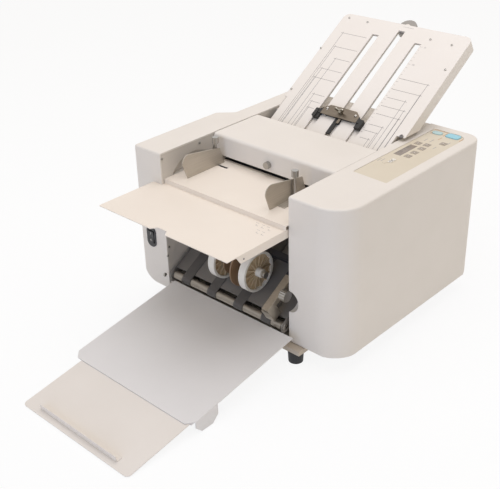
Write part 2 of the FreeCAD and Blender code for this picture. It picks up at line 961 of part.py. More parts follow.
def feed_table():
    under = table_top - sheet
    plate = box(wall_left, wall_right, table_front, table_rear, under, table_top)
    lip = box(wall_left, wall_right, table_front, table_front + sheet, tray_top, table_top)
    rear = table_rear - table_flange
    left = box(wall_left, wall_left + sheet, table_flange_front, rear, under - table_flange, table_top)
    right = box(wall_right - sheet, wall_right, table_flange_front, rear, under - table_flange, table_top)
    table = join([plate, lip, left, right])
    for (x, y), travel_left in zip(guide_posts(), (guide_travel_out, guide_travel)):
        half = post_radius + guide_slot_play
        slot = rectangle(x - travel_left - guide_slot_margin, x + guide_travel + guide_slot_margin,
                         y - half, y + half, post_radius)
        table = table.cut(prism_z(slot, under - overrun, table_top + overrun))
    pad = about(paper_offset, feed_roller_y, pad_width + fit_gap * 2, pad_length + fit_gap * 2)
    save("feed_table", table.cut(prism_z(pad, under - fit_gap, table_top + overrun)))


def feed_tray():
    right = tray_right
    mouth = notch_mouth / 2
    floor = notch_floor / 2
    front = -tray_front
    corner = tray_corner_cut
    plan = [(tray_left, front, tray_corner_radius), (notch_centre - mouth, front, tray_corner_radius),
            (notch_centre - floor, front + notch_depth, tray_corner_radius),
            (notch_centre + floor, front + notch_depth, tray_corner_radius),
            (notch_centre + mouth, front, tray_corner_radius), (right, front, tray_corner_radius),
            (right, tray_under, 0), (wall_left + seam, tray_under, 0), (wall_left + seam, -seam, 0),
            (tray_left, -seam, tray_corner_radius)]
    plate = prism_z(plan, tray_top - sheet, tray_top)
    side = [(front + corner, tray_top, 0), (tray_under, tray_top, 0),
            (tray_under, tray_top - tray_flange, 0),
            (front + corner + flange_bevel, tray_top - tray_flange, 0)]
    save("feed_tray", join([plate, prism_x(side, right - sheet, right)]))


def guide_posts():
    left = guide_left_x - guide_post_offset
    right = guide_right_x + guide_post_offset
    return [(left, left_post_y), (right, right_post_y)]


def paper_guide(x, outward, post):
    """Upright guide sheet with its foot on the table, and the nut that slides under the slot."""
    low = table_top + slide_gap
    profile = [(guide_front_low, low, 0), (guide_rear_low, low, 0),
               (guide_rear_high, guide_rear_top, guide_corner),
               (guide_front_high, guide_top, guide_front_radius)]
    upright = prism_x(profile, x, x + outward * guide_wall)
    edge = x + outward * guide_foot_width
    foot = box(min(x, edge), max(x, edge), guide_foot_front, guide_rear_low, low, low + guide_wall)
    hole = rod_z(post, low - overrun, low + overrun, post_radius + shaft_play)
    under = table_top - sheet - slide_gap
    nut = rod_z(post, under - clamp_nut_height, under, clamp_nut_radius)
    nut = nut.cut(rod_z(post, under - overrun, under + overrun, post_radius + shaft_play))
    return group([join([upright, foot]).cut(hole), nut])


def clamp_screw(post):
    """Long clamp screw that stands in the guide's foot, with its fluted head on top."""
    under = table_top - sheet - slide_gap - clamp_nut_height
    stem = rod_z(post, under, thumb_top - thumb_height, post_radius)
    head = moved(fluted(thumb_radius, thumb_groove_count, thumb_top - thumb_height, thumb_top), post[0],
                 post[1], 0)
    collar_low = table_top + slide_gap + guide_wall + slide_gap
    collar = rod_z(post, collar_low, collar_low + clamp_nut_height, clamp_collar_radius)
    return join([stem, head, collar])


def guides_and_screws():
    left_post, right_post = guide_posts()
    save("left_paper_guide", paper_guide(guide_left_x, -1, left_post))
    save("right_paper_guide", paper_guide(guide_right_x, 1, right_post))
    save("left_clamp_screw", clamp_screw(left_post))
    save("right_clamp_screw", clamp_screw(right_post))


def separator_pad():
    low = table_top - sheet
    top = prism_z(about(paper_offset, feed_roller_y, pad_width, pad_length), low - fit_gap, table_top)
    rim = prism_z(about(paper_offset, feed_roller_y, pad_width + pad_rim * 2, pad_length + pad_rim * 2),
                  low - pad_height, low)
    save("separator_pad", join([top, rim]))


def feed_pressure_knob():
    head = fluted(nose_knob_radius, thumb_groove_count, seam, nose_knob_length + seam)
    head.rotate(V(0, 0, 0), V(1, 0, 0), 90)
    head = moved(head, nose_knob_x, nose_front, nose_knob_z)
    inside = nose_front + cover_wall + seam
    stem = rod((nose_knob_x, nose_front - nose_knob_length, nose_knob_z), (0, 1, 0),
               nose_knob_length + cover_wall + seam + nose_collar_length, nose_knob_stem)
    collar = rod((nose_knob_x, inside, nose_knob_z), (0, 1, 0), nose_collar_length, nose_collar)
    save("feed_pressure_knob", join([head, stem, collar]))


# Rollers, gears and drive

def roller_shaft(place, right_end):
    left_end = wall_left - frame_wall - bearing_flange_width - shaft_end
    return rod_x(left_end, right_end, place, shaft_radius)


def fold_roller(name, place, right_end):
    left = wall_left + roller_end_gap
    right = wall_right - roller_end_gap
    body = rod_x(left, right, place, fold_radius)
    for i in range(fold_groove_count):
        middle = left + (right - left) * (i + 1) / (fold_groove_count + 1)
        band = rod_x(middle - fold_groove_width / 2, middle + fold_groove_width / 2, place,
                     fold_radius + overrun)
        band = band.cut(through_x(place, fold_radius - fold_groove_depth))
        body = body.cut(band)
    save(name, join([body, roller_shaft(place, right_end)]))


def rollers():
    plain_end = gear_back + hub_length + shaft_end
    fold_roller("main_fold_roller", main_place, first_pulley + pulley_width + shaft_end)
    fold_roller("upper_fold_roller", upper_place, plain_end)
    fold_roller("rear_fold_roller", rear_place, plain_end)
    fold_roller("lower_fold_roller", lower_place, second_pulley + pulley_width + shaft_end)
    left = paper_offset - feed_roller_half
    tyre = rod_x(left, left + feed_roller_half * 2, feed_place, feed_roller_radius)
    save("feed_roller", join([tyre, roller_shaft(feed_place, plain_end)]))


def spur_gear(teeth, turn, place, hub):
    """Gear with straight-sided teeth, its first tooth at the angle turn from the rear."""
    pitch = teeth * gear_unit / 2
    tip = pitch + gear_unit * tooth_height_share
    root = pitch - gear_unit * tooth_root_share
    flank = math.tan(math.radians(tooth_flank_angle))
    half = math.pi / teeth / 2 - gear_backlash / pitch / 2
    half_tip = half - flank * (tip - pitch) / pitch
    half_root = half + flank * (pitch - root) / pitch
    points = []
    for i in range(teeth):
        middle = turn + math.pi * 2 * i / teeth
        for reach, aside in ((root, -half_root), (tip, -half_tip), (tip, half_tip), (root, half_root)):
            y = place[0] + reach * math.cos(middle + aside)
            z = place[1] + reach * math.sin(middle + aside)
            points.append(V(gear_front, y, z))
    points.append(points[0])
    disc = Part.Face(Part.makePolygon(points)).extrude(V(gear_width, 0, 0))
    boss = rod_x(gear_back - hub, gear_back + hub, place, hub_radius)
    return join([disc, boss]).cut(through_x(place, shaft_radius + fit_gap))


def mating_turn(turn, teeth, other_teeth, place, other_place):
    """Angle of a tooth of the second gear, so that a gap of it faces a tooth of the first."""
    direction = math.atan2(other_place[1] - place[1], other_place[0] - place[0])
    past = (direction - turn) % (math.pi * 2 / teeth)
    return direction + math.pi + past * teeth / other_teeth + math.pi / other_teeth


def pulley(x0, place, radius, bore):
    rim = radius + belt_gap + belt_wall + pulley_wall
    core = rod_x(x0, x0 + pulley_width, place, radius)
    near = rod_x(x0, x0 + pulley_flange, place, rim)
    far = rod_x(x0 + pulley_width - pulley_flange, x0 + pulley_width, place, rim)
    whole = join([core, near, far])
    return whole.cut(through_x(place, bore)) if bore else whole


def gears():
    main = spur_gear(gear_teeth, 0, main_place, gear_gap)
    main = join([main, pulley(first_pulley, main_place, main_pulley_radius, shaft_radius + fit_gap)])
    save("main_gear", main)
    upper_turn = mating_turn(0, gear_teeth, gear_teeth, main_place, upper_place)
    rear_turn = mating_turn(0, gear_teeth, gear_teeth, main_place, rear_place)
    lower_turn = mating_turn(0, gear_teeth, gear_teeth, main_place, lower_place)
    idler_turn = mating_turn(upper_turn, gear_teeth, idler_teeth, upper_place, idler_place)
    feed_turn = mating_turn(idler_turn, idler_teeth, feed_gear_teeth, idler_place, feed_place)
    save("upper_gear", spur_gear(gear_teeth, upper_turn, upper_place, hub_length))
    save("rear_gear", spur_gear(gear_teeth, rear_turn, rear_place, hub_length))
    lower = spur_gear(gear_teeth, lower_turn, lower_place, gear_gap)
    save("lower_gear",
         group([lower, pulley(second_pulley, lower_place, small_pulley_radius, shaft_radius + fit_gap)]))
    save("idler_gear", spur_gear(idler_teeth, idler_turn, idler_place, 0))
    save("feed_gear", spur_gear(feed_gear_teeth, feed_turn, feed_place, hub_length))


def bearing(wall, side, place, outer, inner):
    """Flanged bearing in a side frame; side is -1 at the left frame and 1 at the right one."""
    face = wall + side * frame_wall
    flange_end = face + side * bearing_flange_width
    body_end = flange_end - side * bearing_width
    flange = rod_x(min(face, flange_end), max(face, flange_end), place,
                   outer + bearing_flange - bearing_outer)
    body = rod_x(min(body_end, flange_end), max(body_end, flange_end), place, outer)
    return join([flange, body]).cut(through_x(place, inner + shaft_play))


def roller_bearings():
    pieces = []
    for place in shaft_places:
        pieces.append(bearing(wall_left, -1, place, bearing_outer, shaft_radius))
        pieces.append(bearing(wall_right, 1, place, bearing_outer, shaft_radius))
    pieces.append(bearing(wall_right, 1, conveyor_rear_place, bush_radius, conveyor_shaft))
    for place in (conveyor_front_place, conveyor_rear_place):
        for x in (cheek_left - fit_gap, cheek_right - bush_length + fit_gap):
            bush = rod_x(x, x + bush_length, place, bush_radius)
            pieces.append(bush.cut(through_x(place, conveyor_shaft + shaft_play)))
    save("roller_bearings", group(pieces))


def belt_face(first, first_radius, second, second_radius, x):
    """Face inside a band drawn round two circles in an upright plane."""
    step = (second[0] - first[0], second[1] - first[1])
    aim = math.atan2(step[1], step[0])
    open_angle = math.acos((first_radius - second_radius) / math.hypot(*step))

    def rim(place, radius, turn):
        return V(x, place[0] + radius * math.cos(turn), place[1] + radius * math.sin(turn))

    start = rim(first, first_radius, aim + open_angle)
    end = rim(first, first_radius, aim - open_angle)
    onward = rim(second, second_radius, aim - open_angle)
    back = rim(second, second_radius, aim + open_angle)
    edges = [Part.Arc(start, rim(first, first_radius, aim + math.pi), end).toShape(),
             Part.makeLine(end, onward),
             Part.Arc(onward, rim(second, second_radius, aim), back).toShape(), Part.makeLine(back, start)]
    return Part.Face(Part.Wire(edges))


def belt_loop(first, first_radius, second, second_radius, wall, x0, x1):
    near = belt_gap
    far = belt_gap + wall
    outer = belt_face(first, first_radius + far, second, second_radius + far, x0).extrude(V(x1 - x0, 0, 0))
    inner = belt_face(first, first_radius + near, second, second_radius + near,
                      x0).extrude(V(x1 - x0, 0, 0))
    return outer.cut(inner)


def drive():
    motor_place = (motor_y, motor_z)
    flange_x = first_pulley + pulley_width + gear_gap
    flange = box(flange_x, flange_x + motor_flange_wall, motor_y - motor_flange, motor_y + motor_flange,
                 motor_z - motor_flange, motor_z + motor_flange)
    body = rod_x(flange_x, flange_x + motor_flange_wall + motor_length, motor_place, motor_radius)
    posts = []
    for y in (motor_y - motor_post, motor_y + motor_post):
        for z in (motor_z - motor_post, motor_z + motor_post):
            posts.append(rod_x(wall_right + frame_wall, flange_x, (y, z), motor_post_radius))
    socket = rod_x(flange_x - overrun, flange_x + motor_flange_wall, motor_place,
                   motor_shaft_radius + shaft_play)
    save("drive_motor", join([flange, body] + posts).cut(socket))
    shaft = rod_x(first_pulley - gear_gap, flange_x + motor_flange_wall - shaft_play, motor_place,
                  motor_shaft_radius)
    save("motor_pulley", join([pulley(first_pulley, motor_place, motor_pulley_radius, 0), shaft]))
    x0 = first_pulley + pulley_flange + belt_gap
    save("drive_belt", belt_loop(main_place, main_pulley_radius, motor_place, motor_pulley_radius,
                                 belt_wall,
                                 x0, x0 + belt_width))
    x1 = second_pulley + pulley_flange + belt_gap
    save("conveyor_drive_belt", belt_loop(lower_place, small_pulley_radius, conveyor_rear_place,
                                          small_pulley_radius,
                                          belt_wall, x1, x1 + belt_width))


# Lower fold plate

def lower_fold_plate():
    x0 = paper_offset - lower_plate_half
    x1 = paper_offset + lower_plate_half
    half = plate_channel / 2
    full = half + plate_wall
    whole = box(x0, x1, 0, lower_plate_length, -full, full)
    channel = box(x0 + lower_plate_side, x1 - lower_plate_side, -overrun, lower_plate_length + overrun,
                  -half, half)
    slot = box(paper_offset - lower_slot_half, paper_offset + lower_slot_half, lower_slot_margin,
               lower_plate_length - lower_slot_margin, -overrun, overrun)
    plate = whole.cut(channel).cut(slot)
    tabs = []
    for y in (lower_tab_inset, lower_plate_length - lower_tab_inset - lower_tab_length):
        tabs.append(box(wall_left, x0, y, y + lower_tab_length, -full, -half))
        tabs.append(box(x1, wall_right, y, y + lower_tab_length, -full, -half))
    save("lower_fold_plate", on_lower_plate(join([plate] + tabs)))
    thick = half - slide_gap
    y = lower_stop_drop
    end = y + lower_stop_wall
    foot = -full - lower_stop_height
    bar = box(paper_offset - lower_stop_half, paper_offset + lower_stop_half, y, end, -thick, thick)
    waist = lower_slot_half - slide_gap
    stem = box(paper_offset - waist, paper_offset + waist, y, end, foot, thick)
    head = rod_z((paper_offset, (y + end) / 2), foot, -full - slide_gap, lower_stop_head)
    save("lower_paper_stop", on_lower_plate(join([bar, stem, head])))


# Upper fold plate and its stop

def plate_slots(grow, foot, z0, z1):
    half = slot_width / 2 + grow
    low = slot_end - foot
    slots = []
    for offset, head in ((-slot_offset, slot_side_head), (0, slot_middle_head),
                         (slot_offset, slot_side_head)):
        x = paper_offset + offset
        slots.append(prism_z(rectangle(x - half, x + half, -low - grow, grow - head, slot_corner), z0, z1))
    return slots


def flange_foot(start, x0, x1):
    """Space under a flange, whose lower end is cut level with the desk from that place on the plate."""
    deep = plate_flange + overrun
    corners = [(-start, 0, 0), (deep / math.tan(slope) - start, -deep, 0), (-plate_length, -deep, 0),
               (-plate_length, 0, 0)]
    return prism_x(corners, x0, x1)


def upper_fold_plate():
    left = paper_offset - plate_half
    right = paper_offset + plate_half
    plan = [(left, 0, plate_corner), (left, -plate_low, 0), (plate_inner_left, -plate_low, 0),
            (plate_inner_left, -plate_length, 0), (plate_inner_right, -plate_length, 0),
            (plate_inner_right, -plate_narrow, 0), (right, -plate_narrow, 0), (right, 0, plate_corner)]
    plate = prism_z(plan, -plate_wall, 0)
    rim = [(left, 0, plate_corner), (left, -plate_narrow, 0), (right, -plate_narrow, 0),
           (right, 0, plate_corner)]
    inside = [(left + plate_wall, -plate_wall, plate_corner - plate_wall),
              (left + plate_wall, -plate_length, 0), (right - plate_wall, -plate_length, 0),
              (right - plate_wall, -plate_wall, plate_corner - plate_wall)]
    flanges = prism_z(rim, -plate_flange, -plate_wall)
    flanges = flanges.cut(prism_z(inside, -plate_flange - overrun, 0))
    flanges = flanges.cut(box(left + plate_corner, right - plate_corner, -plate_corner, overrun,
                              -plate_flange - overrun, 0))
    flanges = flanges.cut(flange_foot(plate_low, left - overrun, paper_offset))
    flanges = flanges.cut(flange_foot(plate_narrow, paper_offset, right + overrun))
    plate = join([plate, flanges])
    for slot in plate_slots(0, 0, -overrun, overrun):
        plate = plate.cut(slot)
    save("upper_fold_plate", on_plate(plate))


def upper_plate_backing():
    x0 = plate_inner_left
    x1 = plate_inner_right
    top = -plate_wall - plate_channel
    sheet_part = box(x0, x1, -plate_length, -plate_corner, -plate_stack, top)
    left = box(x0, x0 + plate_wall, -plate_length, -plate_corner, -plate_stack, -plate_wall)
    right = box(x1 - plate_wall, x1, -plate_length, -plate_corner, -plate_stack, -plate_wall)
    stem = rod_z((paper_offset, -dial_setback), -dial_low, -plate_wall, dial_axle)
    tongue = rod_z((paper_offset, -dial_setback), -plate_stack, top, dial_tongue)
    neck = box(paper_offset - dial_tongue, paper_offset + dial_tongue, -plate_corner, -dial_setback,
               -plate_stack, top)
    backing = join([sheet_part, left, right, neck, tongue, stem])
    for slot in plate_slots(slot_backing_grow, slot_backing_foot, -plate_stack - seam, top + seam):
        backing = backing.cut(slot)
    save("upper_plate_backing", on_plate(backing))


def skew_dial():
    top = -plate_stack - slide_gap
    disc = fluted(dial_radius, dial_groove_count, top - dial_drop - dial_height + slide_gap, top)
    disc = moved(disc, paper_offset, -dial_setback, 0)
    bore = rod_z((paper_offset, -dial_setback), -dial_low - overrun, overrun, dial_axle + shaft_play)
    save("skew_dial", on_plate(disc.cut(bore)))


def stop_shoe(x, side):
    """Black shoe that carries one end of the bridge and keeps to a slot by its key."""
    near = -stop_rest - stop_depth / 2
    plan = rectangle(x - shoe_width / 2, x + shoe_width / 2, near - shoe_front, near - shoe_front + shoe_depth,
                     shoe_edge)
    block = prism_z(plan, slide_gap, stop_lift + stop_wall + shoe_cap)
    end = paper_offset + side * (stop_half + seam)
    bridge = box(min(end, end - side * stop_half), max(end, end - side * stop_half), near - overrun,
                 near + overrun, stop_lift, stop_lift + overrun)
    deep = slide_gap - plate_wall - plate_channel
    middle = near - shoe_front + shoe_depth / 2
    key = box(x - shoe_key_width / 2, x + shoe_key_width / 2, middle - shoe_key_length / 2,
              middle + shoe_key_length / 2, deep, stop_lift)
    return join([block.cut(bridge), key])


def paper_stop():
    near = -stop_rest - stop_depth / 2
    high = stop_lift + stop_wall
    x = paper_offset
    plan = [(x - stop_half, near, stop_edge), (x + stop_half, near, stop_edge),
            (x + stop_half, near + stop_end_depth, stop_edge),
            (x + stop_shoulder, near + stop_depth, stop_edge),
            (x - stop_shoulder, near + stop_depth, stop_edge),
            (x - stop_half, near + stop_end_depth, stop_edge)]
    bridge = prism_z(plan, stop_lift, high)
    lip = box(x - stop_shoulder, x + stop_shoulder, near, near + stop_wall, stop_lift - stop_lip, high)
    middle = x - stop_bar_shift
    left = middle - stop_bar_width / 2
    right = middle + stop_bar_width / 2
    bar = box(left, right, near - stop_bar_reach, near + stop_wall, slide_gap, slide_gap + stop_bar_wall)
    hanger = box(left, right, near, near + stop_wall, slide_gap, high)
    bridge = join([bridge, lip, bar, hanger]).cut(rod_z((x, -stop_rest), 0, overrun, post_radius + shaft_play))
    for offset in (-stop_hole_offset, stop_hole_offset):
        bridge = bridge.cut(rod_z((x + offset, -stop_rest), 0, overrun, stop_hole_radius))
    pad = box(x + stop_pad_left, x + stop_pad_right, near - shoe_front, near, slide_gap, stop_lift)
    shoes = [stop_shoe(x - slot_offset, -1), stop_shoe(x + slot_offset, 1)]
    save("paper_stop", on_plate(group([bridge, pad] + shoes)))


def stop_knob():
    """Wing screw that clamps the bridge."""
    low = stop_lift + stop_wall + slide_gap
    hub = rod_z((0, 0), low, low + stop_hub_height, stop_hub_radius)
    tip = stop_wing_reach - stop_wing_tip
    wings = []
    for side in (-1, 1):
        profile = [(0, low, 0), (side * stop_wing_reach, low + stop_hub_height, stop_wing_edge),
                   (side * stop_wing_reach, low + stop_wing_height, stop_wing_edge),
                   (side * tip, low + stop_wing_height, stop_wing_edge), (0, low + stop_hub_height, 0)]
        wings.append(prism_y(profile, -stop_wing_wall / 2, stop_wing_wall / 2))
    stem = rod_z((0, 0), slide_gap, low + stop_hub_height, post_radius)
    save("stop_knob", on_plate(moved(join([hub, stem] + wings), paper_offset, -stop_rest, 0)))


# Conveyor and stacker

def conveyor_bed():
    start = conveyor_radius + cheek_margin
    top = conveyor_radius
    bed = box(cheek_left, cheek_right, start, conveyor_length - start, top - bed_wall, top)
    profile = rectangle(-start, conveyor_length + cheek_rear, -start, start, start - fit_gap)
    left = prism_x(profile, cheek_left, cheek_left + bed_wall)
    right = prism_x(profile, cheek_right - bed_wall, cheek_right)
    studs = []
    for along in (bed_stud_inset, conveyor_length - bed_stud_inset):
        studs.append(rod_x(wall_left, cheek_left, (along, 0), bed_stud_radius))
        studs.append(rod_x(cheek_right, wall_right, (along, 0), bed_stud_radius))
    low = belt_top + arm_lift + arm_wall + slide_gap
    high = belt_top + arm_lift + arm_height - arm_wall - slide_gap
    x0 = arm_right - arm_width + arm_wall + slide_gap
    x1 = arm_right - arm_wall - slide_gap
    post_end = rail_post_along + rail_post_length
    post = box(cheek_right - bed_wall, cheek_right, rail_post_along, post_end, 0, high)
    bridge = box(x0, cheek_right, rail_post_along, post_end, low, high)
    rail = box(x0, x1, rail_front_along, post_end, low, high)
    whole = join([bed, left, right] + studs + [post, bridge, rail])
    for along in (0, conveyor_length):
        whole = whole.cut(through_x((along, 0), bush_radius + fit_gap))
    whole = on_conveyor(whole)
    y, z = on_ramp(conveyor_length + start + bed_wall, -belt_top + start - bed_wall * 2)
    chute = sloped(box(cheek_left, cheek_right, 0, chute_length, -bed_wall, 0), y, z,
                   math.radians(chute_slope))
    save("conveyor_bed", join([whole, chute]))


def conveyor_rollers():
    left = wall_left + conveyor_side_gap + shaft_end
    right = wall_right - conveyor_side_gap - shaft_end
    shaft_left = cheek_left - fit_gap
    front = rod_x(left, right, conveyor_front_place, conveyor_radius)
    front_shaft = rod_x(shaft_left, cheek_right + fit_gap, conveyor_front_place, conveyor_shaft)
    save("conveyor_front_roller", join([front, front_shaft]))
    rear = rod_x(left, right, conveyor_rear_place, conveyor_radius)
    rear_shaft = rod_x(shaft_left, second_pulley + pulley_width + shaft_end, conveyor_rear_place,
                       conveyor_shaft)
    wheel = pulley(second_pulley, conveyor_rear_place, small_pulley_radius, 0)
    save("conveyor_rear_roller", join([rear, rear_shaft, wheel]))


def conveyor_belts():
    left = wall_left + conveyor_side_gap + shaft_end
    right = wall_right - conveyor_side_gap - shaft_end
    pitch = (right - left) / conveyor_belt_count
    belts = []
    for i in range(conveyor_belt_count):
        middle = left + pitch * (i + 0.5)
        belts.append(belt_loop(conveyor_front_place, conveyor_radius, conveyor_rear_place, conveyor_radius,
                               conveyor_belt_wall, middle - conveyor_belt_width / 2,
                               middle + conveyor_belt_width / 2))
    save("conveyor_belts", group(belts))


def stacker_wheel(x0):
    """Ribbed wheel drawn about its own axle, open on both sides of a thin web."""
    centre = (0, 0)
    x1 = x0 + wheel_width
    inside = wheel_radius - wheel_rim
    rim = rod_x(x0, x1, centre, wheel_radius).cut(through_x(centre, inside))
    web = rod_x(x0 + wheel_recess, x1 - wheel_recess, centre, inside + fit_gap)
    boss = rod_x(x0, x1 + wheel_boss_reach, centre, wheel_boss)
    rib = box(x0 + wheel_rib_inset, x1 - wheel_rib_inset, wheel_boss - wheel_rib_wall, inside + fit_gap,
              -wheel_rib_wall / 2, wheel_rib_wall / 2)
    ribs = []
    for i in range(wheel_rib_count):
        turned = rib.copy()
        turned.rotate(V(0, 0, 0), V(1, 0, 0), 360 * i / wheel_rib_count)
        ribs.append(turned)
    return join([rim, web, boss] + ribs).cut(through_x(centre, stacker_shaft_radius + fit_gap))


def stacker():
    y, z = on_ramp(wheel_along, wheel_lift)
    wheels = []
    for offset in (-wheel_half_spacing, wheel_half_spacing):
        wheels.append(stacker_wheel(stacker_centre + offset - wheel_width / 2))
    save("stacker_wheels", moved(group(wheels), 0, y, z))
    right = stacker_centre + wheel_half_spacing + wheel_width / 2 + wheel_boss_reach
    left = stacker_centre - wheel_half_spacing - wheel_width / 2 - shaft_end
    pieces = [rod_x(left, right, (0, 0), stacker_shaft_radius),
              rod_x(right, right + shaft_cap_length, (0, 0), shaft_cap_radius)]
    for offset, radius in ((-disc_left_offset, small_disc_radius), (disc_right_offset, disc_radius)):
        x = stacker_centre + offset
        pieces.append(rod_x(x - disc_width / 2, x + disc_width / 2, (0, 0), radius))
    save("stacker_shaft", moved(join(pieces), 0, y, z))
    low = belt_top + arm_lift
    high = low + arm_height
    x0 = arm_right - arm_width
    channel = box(x0, arm_right, arm_front, arm_rear, low, high)
    cavity = box(x0 + arm_wall, arm_right - arm_wall, arm_front - overrun, arm_rear + overrun,
                 low + arm_wall, high - arm_wall)
    block = box(arm_right - arm_block, arm_right, arm_front, arm_front + arm_block,
                belt_top + arm_block_lift, low)
    axle = belt_top + wheel_lift
    half = cross_bar / 2
    cross = box(stacker_centre - half, x0, cross_along - half, cross_along + half, low, high)
    arm = box(stacker_centre - half, stacker_centre + half, wheel_along, cross_along + half, axle - half,
              axle + half)
    hub = rod_x(stacker_centre - half, stacker_centre + half, (wheel_along, axle), arm_hub)
    knob_z = low + arm_height / 2
    screw_hole = rod((arm_right - arm_wall - slide_gap, stacker_knob_along, knob_z), (1, 0, 0), overrun,
                     post_radius + shaft_play)
    whole = join([channel.cut(cavity), block, cross, arm, hub]).cut(screw_hole)
    whole = whole.cut(rod_x(stacker_centre - overrun, stacker_centre + overrun, (wheel_along, axle),
                            stacker_shaft_radius + shaft_play))
    save("stacker_arm", on_conveyor(whole))
    head = fluted(stacker_knob_radius, thumb_groove_count, slide_gap, stacker_knob_length)
    stem = rod_z((0, 0), -arm_wall, stacker_knob_length, post_radius)
    knob = join([head, stem])
    knob.rotate(V(0, 0, 0), V(0, 1, 0), 90)
    save("stacker_knob", on_conveyor(moved(knob, arm_right, stacker_knob_along, knob_z)))


# Delivery tray

def delivery_tray():
    left = delivery_left
    right = delivery_right
    corner = delivery_corner
    plan = [(left, 0, 0), (left, corner - delivery_length, 0), (left + corner, -delivery_length, 0),
            (right - corner, -delivery_length, 0), (right, corner - delivery_length, 0), (right, 0, 0)]
    plate = prism_z(plan, -delivery_wall, 0)
    edge_left = extension_left - slide_gap
    edge_right = extension_right + slide_gap
    low = -delivery_wall * 2 - extension_drop - slide_gap - delivery_wall
    rails = []
    for near, far in ((edge_left - delivery_wall, edge_left), (edge_right, edge_right + delivery_wall)):
        rails.append(box(near, far, -rail_front, -rail_rear, low, 0))
    rails.append(box(edge_left - delivery_wall, edge_left + rail_lip, -rail_front, -rail_rear, low,
                     low + delivery_wall))
    rails.append(box(edge_right - rail_lip, edge_right + delivery_wall, -rail_front, -rail_rear, low,
                     low + delivery_wall))
    tray = on_delivery(join([plate] + rails))
    foot_rear = delivery_rear_y - (delivery_length - corner) * math.cos(delivery) + delivery_foot_length
    foot_front = foot_rear - delivery_foot_length

    def under(y):
        return delivery_rear_z + (y - delivery_rear_y) * math.tan(delivery) - delivery_wall / 2

    foot = [(foot_front, under(foot_front), 0), (foot_front, delivery_foot_bevel, 0),
            (foot_front + delivery_foot_bevel, 0, 0), (foot_rear - delivery_foot_bevel, 0, 0),
            (foot_rear, delivery_foot_bevel, 0), (foot_rear, under(foot_rear), 0)]
    feet = [prism_x(foot, left, left + delivery_wall), prism_x(foot, right - delivery_wall, right)]
    pivot = (delivery_pivot_y, delivery_pivot_z)
    ear_rear = delivery_rear_y
    ear_front_y = delivery_rear_y - delivery_ear_length
    ear = [(ear_front_y, under(ear_front_y), 0), (ear_rear, under(ear_rear), 0),
           (pivot[0] + delivery_ear_radius, pivot[1], 0), (pivot[0], pivot[1] - delivery_ear_radius, 0)]
    pieces = [tray] + feet
    lug = wall_left + lug_inset + pan_wall
    ear_x = lug + seam
    pieces.append(prism_x(ear, ear_x, ear_x + delivery_ear_wall))
    pieces.append(rod_x(lug - pan_wall, ear_x + delivery_ear_wall, pivot, pin_radius))
    lug = wall_right - lug_inset - pan_wall
    ear_x = lug - seam
    pieces.append(prism_x(ear, ear_x - delivery_ear_wall, ear_x))
    pieces.append(rod_x(ear_x - delivery_ear_wall, lug + pan_wall, pivot, pin_radius))
    save("delivery_tray", join(pieces))


def tray_extension():
    x0 = extension_left
    x1 = extension_right
    top = -delivery_wall - extension_drop
    front = -(extension_reach + delivery_rear_y - top * math.sin(delivery)) / math.cos(delivery)
    rear = front + extension_length
    plan = [(x0, front, guide_foot_width / 2), (x1, front, guide_foot_width / 2), (x1, rear, 0),
            (x0, rear, 0)]
    save("tray_extension", on_delivery(prism_z(plan, top - delivery_wall, top)))
    y = front + extension_stop_setback
    middle = (extension_left + extension_right) / 2
    left = middle - extension_stop_half
    right = middle + extension_stop_half
    lip = box(left, right, y, y + delivery_wall, top, top + extension_stop_height)
    sole = box(left, right, y, y + extension_stop_height, top, top + delivery_wall)
    save("extension_stop", on_delivery(join([lip, sole])))


# Control panel, switch and inlet

def control_panel():
    floor = case_height - panel_recess
    top = floor + panel_wall
    plate = prism_z(panel_plan(key_clear), floor, top)
    window = rectangle(lcd_left - fit_gap, lcd_right + fit_gap, lcd_front - fit_gap, lcd_rear + fit_gap)
    plate = plate.cut(prism_z(window, floor - overrun, top + overrun)).cut(key_wells(floor - overrun,
                                                                                     top + overrun))
    width = panel_right - panel_left
    length = panel_rear - panel_front
    bumps = []
    for across, along in membrane_keys_share:
        bumps.append(prism_z(about(panel_left + width * across, panel_front + length * along, emboss_wide,
                                   emboss_long, panel_corner), floor, top + emboss_rise))
    plate = join([plate] + bumps)
    under = floor - cover_wall
    board_top = under - board_gap
    board = prism_z(panel_plan(board_inset), board_top - board_wall, board_top)
    posts = []
    for x in (panel_left + board_inset * 2, panel_right - board_inset * 2):
        for y in (panel_front + board_inset * 2, (panel_front + panel_rear) / 2):
            posts.append(rod_z((x, y), board_top, under, board_post))
    save("control_panel", group([plate, join([board] + posts)]))
    glass = rectangle(lcd_left, lcd_right, lcd_front, lcd_rear)
    save("lcd_window", prism_z(glass, floor, top))


def push_key(name, x, y, width, length):
    """Key cap that rises through the panel, kept by a collar under the cover."""
    floor = case_height - panel_recess
    under = floor - cover_wall
    collar_top = under - key_clear
    cap = prism_z(key_plan(x, y, width, length, 0), collar_top - key_collar_height,
                  floor + panel_wall + key_rise)
    collar = prism_z(key_plan(x, y, width, length, key_collar), collar_top - key_collar_height, collar_top)
    stem = rod_z((x, y), under - board_gap + key_travel + slide_gap, collar_top, key_stem)
    save(name, join([cap, collar, stem]))


